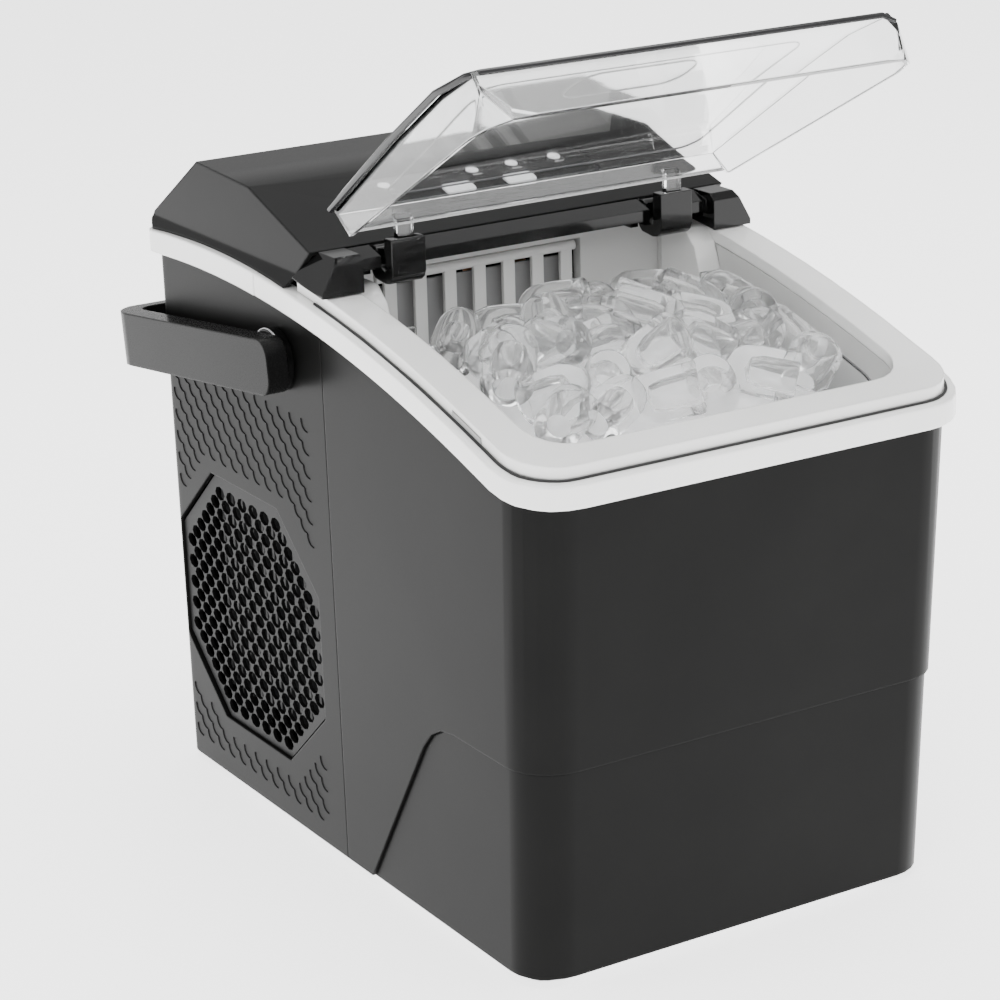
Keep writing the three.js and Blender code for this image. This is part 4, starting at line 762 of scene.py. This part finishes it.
# A short plain stroke stands under each lamp, where its meaning would be marked.
MARK_LONG = 0.0050
MARK_WIDE = 0.0007
MARK_DROP = 0.0052
MARK_THICK = 0.0002
MARK_EDGE = 0.00005
MARK_LIFT = 0.0001
PANEL_SLOPE = math.atan2(18, 59)
LAMP_R = 0.0030
down_panel = Vector((0, -math.cos(PANEL_SLOPE), -math.sin(PANEL_SLOPE)))
mark_white = plastic("mark_white", (0.55, 0.55, 0.55), (0.65, 0.65, 0.65), (0.4, 0.5))
for lamp in LAMPS:
    lamp_low, lamp_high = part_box("lamp_%d" % lamp)
    face = Vector((
        (lamp_low.x + lamp_high.x) / 2,
        lamp_low.y + LAMP_R * math.cos(PANEL_SLOPE),
        lamp_high.z - LAMP_R * math.sin(PANEL_SLOPE) + MARK_LIFT,
    ))
    bpy.ops.object.select_all(action="DESELECT")
    bpy.ops.mesh.primitive_cube_add(
        size=1,
        location=face + down_panel * MARK_DROP,
        rotation=(PANEL_SLOPE, 0, 0),
        scale=(MARK_LONG, MARK_WIDE, MARK_THICK),
    )
    mark = bpy.context.active_object
    mark.name = "lamp_mark_%d" % lamp
    bpy.ops.object.transform_apply(location=True, rotation=True, scale=True)
    bpy.ops.object.mode_set(mode="EDIT")
    bpy.ops.mesh.select_all(action="SELECT")
    bpy.ops.mesh.bevel(offset=MARK_EDGE, segments=1, affect="EDGES")
    bpy.ops.object.mode_set(mode="OBJECT")
    dress(mark, mark_white)
    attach(mark, "housing")


# Hinge
# A gloss black beam joins two blocks behind the bin. Two arms on it clamp the lid's tongues,
# and the lid turns on steel pins through them.
BEAM_ROUND = 0.0008
ARM_ROUND = 0.0006
HINGE_COAT = 0.15
HINGE_SHEEN = 0.22
gloss_black = plastic(
    "gloss_black", (0.003, 0.003, 0.003), (0.005, 0.005, 0.005), (0.08, 0.14), relief=0.000004,
    edge=0.0008
)
shader_of(gloss_black).inputs["Coat Weight"].default_value = HINGE_COAT
shader_of(gloss_black).inputs["Specular IOR Level"].default_value = HINGE_SHEEN
moulding("hinge_beam", "housing", gloss_black, BEAM_ROUND)
for side in ("left", "right"):
    moulding("hinge_arm_" + side, "lid", gloss_black, ARM_ROUND)
steel = plastic("steel", (0.55, 0.55, 0.56), (0.68, 0.68, 0.69), (0.18, 0.32), grain=600)
shader_of(steel).inputs["Metallic"].default_value = 1.0


# Lid
# The lid is a shallow tray of clear acrylic, open downwards. Its left edge and its brow look
# dark, so a dark bead of painted shade lies along them, and a low step runs round its top.
# Each point of the lid's middle line is a depth and a height: hinge edge, crease and brow.
LID_ROUND = 0.0009
LID_IOR = 1.45
CROWN = (-0.0049, 0.3020)
CREASE = (-0.1019, 0.3672)
BROW = (-0.1269, 0.3797)
lid_clear = clear_plastic("lid_clear", (0.95, 0.96, 0.96), (0.015, 0.03), LID_IOR)
moulding("lid", "lid", lid_clear, LID_ROUND)

# This near-black is painted shade along the lid's clear edges.
lid_edge_painted_shade = plastic(
    "lid_edge_painted_shade", (0.010, 0.010, 0.011), (0.020, 0.020, 0.021), (0.08, 0.14), relief=0.000003
)
LID_BEAD_R = 0.0016
lid_edge = [
    (-0.0998, CROWN[0], CROWN[1] + 0.0010),
    (-0.1034, -0.0650, 0.3434),
    (-0.1030, CREASE[0], CREASE[1] + 0.0008),
    (-0.1022, BROW[0] + 0.004, BROW[1] - 0.0024),
    (-0.0975, BROW[0] - 0.0006, BROW[1] - 0.0006),
    (0.0975, BROW[0] - 0.0006, BROW[1] - 0.0006),
    (0.1025, BROW[0] - 0.003, BROW[1] - 0.0035),
]
bead("lid_edge_line", lid_edge, LID_BEAD_R, lid_edge_painted_shade, "lid")

PLATE_LIFT = 0.0008
LOOP_R = 0.00045
LOOP_CORNER_STEP = 18


def plate_point(x, along):
    """A point on the lid's top plate: along runs from its hinge edge to its crease."""
    y = CROWN[0] + (CREASE[0] - CROWN[0]) * along
    z = CROWN[1] + (CREASE[1] - CROWN[1]) * along
    return (x, y, z + PLATE_LIFT)


def plate_loop(name, half_x, low, high):
    """A rounded rectangle moulded into the top plate, drawn as a fine grey bead of painted
    shade.
    """
    corner_x, corner_y = 0.010, 0.09
    places = []
    corners = ((-1, low, 180), (1, low, 270), (1, high, 0), (-1, high, 90))
    for side, end, start in corners:
        for turn in range(0, 91, LOOP_CORNER_STEP):
            a = math.radians(start + turn)
            x = side * (half_x - corner_x) + corner_x * math.cos(a)
            inward = corner_y if end == low else -corner_y
            places.append(plate_point(x, end + inward + corner_y * math.sin(a)))
    bead(name, places, LOOP_R, edge_painted_shade, "lid", closed=True)


plate_loop("lid_step", half_x=0.080, low=0.10, high=0.97)
plate_loop("lid_grip_recess", half_x=0.030, low=0.70, high=0.93)


# Carry handle
# The bail handle hangs on a boss on each side and swings up over the lid. Its ends are gloss
# black discs; two thin steel rings on each stand in for the bright edges, as painted highlight.
HANDLE_SHEEN = 0.07
HANDLE_ROUND = 0.0018
BOSS_ROUND = 0.001
RING_RADII = (0.0142, 0.0112)
RING_WIRE = 0.0005
RING_SINK = 0.0008
handle_black = plastic(
    "handle_black", (0.005, 0.005, 0.005), (0.007, 0.007, 0.007), (0.22, 0.32), edge=0.0012
)
shader_of(handle_black).inputs["Specular IOR Level"].default_value = HANDLE_SHEEN
moulding("carry_handle", "handle", handle_black, HANDLE_ROUND)
for side in ("left", "right"):
    moulding("handle_boss_" + side, "housing", gloss_black, BOSS_ROUND)
    boss_low, boss_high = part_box("handle_boss_" + side)
    middle = (boss_low + boss_high) / 2
    away = -1 if side == "left" else 1
    outer = boss_high.x if away > 0 else boss_low.x
    # These steel rings are painted highlight on the boss's edges.
    for ring, radius in enumerate(RING_RADII):
        bpy.ops.object.select_all(action="DESELECT")
        bpy.ops.mesh.primitive_torus_add(
            location=(outer - away * RING_SINK, middle.y, middle.z),
            rotation=(0, math.pi / 2, 0),
            major_radius=radius,
            minor_radius=RING_WIRE,
            major_segments=48,
            minor_segments=8,
        )
        band = bpy.context.active_object
        band.name = "boss_highlight_ring_%s_%d" % (side, ring + 1)
        bpy.ops.object.transform_apply(location=True, rotation=True, scale=True)
        bpy.ops.object.shade_smooth()
        dress(band, steel)
        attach(band, "housing")


# Inner works, feet and fittings
# What stands behind the shells: the cooling set, the fan, the pump and the tray that the ice
# forms in, with the screws, the power inlet and the drain plug.
copper = plastic("copper", (0.65, 0.30, 0.17), (0.78, 0.40, 0.25), (0.22, 0.4), grain=500)
shader_of(copper).inputs["Metallic"].default_value = 1.0
aluminium = plastic("aluminium", (0.70, 0.71, 0.72), (0.82, 0.83, 0.84), (0.25, 0.4), grain=500)
shader_of(aluminium).inputs["Metallic"].default_value = 1.0
painted_metal_and_condenser_shade = plastic("painted_metal_and_condenser_shade", (0.015, 0.015, 0.016), (0.03, 0.03, 0.03), (0.3, 0.45))
circuit_board = plastic("circuit_board", (0.01, 0.10, 0.04), (0.02, 0.16, 0.07), (0.3, 0.45))
FITTINGS = {
    rubber: ["foot_front_left", "foot_front_right", "foot_rear_left", "foot_rear_right",
             "water_hose", "drain_cap"],
    steel: ["lid_pin_left", "lid_pin_right", "handle_pin_left", "handle_pin_right",
            "rear_screw_upper_left", "rear_screw_upper_right", "rear_screw_lower_left",
            "rear_screw_lower_right", "base_pan"],
    copper: ["discharge_tube", "suction_tube"],
    aluminium: ["evaporator"],
    # The condenser's fins are aluminium, but take this black as painted shade.
    painted_metal_and_condenser_shade: ["condenser", "compressor", "fan_motor", "tray_motor"],
    handle_black: ["fan_shroud", "condenser_fan", "power_inlet", "water_pump"],
    liner_grey: ["water_tray", "drain_pipe"],
    circuit_board: ["control_board"],
}
for material, nodes in FITTINGS.items():
    for node in nodes:
        dress(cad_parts[node], material)


# Floor and lights
# A plain pale floor that gives off some light of its own, and large soft lamps, as in a
# product studio.
FLOOR_SIZE = 14
FLOOR_GLOW = 2.2
STUDIO_GLOW = 0.8
bpy.ops.object.select_all(action="DESELECT")
bpy.ops.mesh.primitive_plane_add(size=FLOOR_SIZE, location=(0, 0, 0))
floor = bpy.context.active_object
floor.name = "floor"
floor_white = plastic("floor_white", (0.90, 0.90, 0.90), (0.93, 0.93, 0.93), (0.6, 0.7), cloud=1)
shader_of(floor_white).inputs["Emission Color"].default_value = (1, 1, 1, 1)
shader_of(floor_white).inputs["Emission Strength"].default_value = FLOOR_GLOW
dress(floor, floor_white)

world = bpy.data.worlds.new("studio")
world.use_nodes = True
world.node_tree.nodes["Background"].inputs["Color"].default_value = (1, 1, 1, 1)
world.node_tree.nodes["Background"].inputs["Strength"].default_value = STUDIO_GLOW
bpy.context.scene.world = world


def softbox(name, place, aim, size, power):
    """A square or oblong soft lamp at a place, turned to face its aim."""
    lamp = bpy.data.lights.new(name, "AREA")
    lamp.shape = "RECTANGLE"
    lamp.size, lamp.size_y = size
    lamp.energy = power
    light = bpy.data.objects.new(name, lamp)
    bpy.context.scene.collection.objects.link(light)
    light.location = place
    direction = Vector(aim) - Vector(place)
    light.rotation_mode = "QUATERNION"
    light.rotation_quaternion = direction.to_track_quat("-Z", "Y")


softbox("key_light", (-1.5, -1.3, 1.6), (0, 0, 0.15), (1.2, 1.2), 24)
softbox("top_light", (0.2, 0.1, 2.0), (0, 0, 0.2), (1.6, 1.6), 34)
softbox("side_light", (-1.6, 0.6, 0.7), (0, 0, 0.15), (0.5, 1.2), 6)
softbox("fill_light", (1.6, -1.4, 0.9), (0, 0, 0.15), (1.2, 1.0), 12)
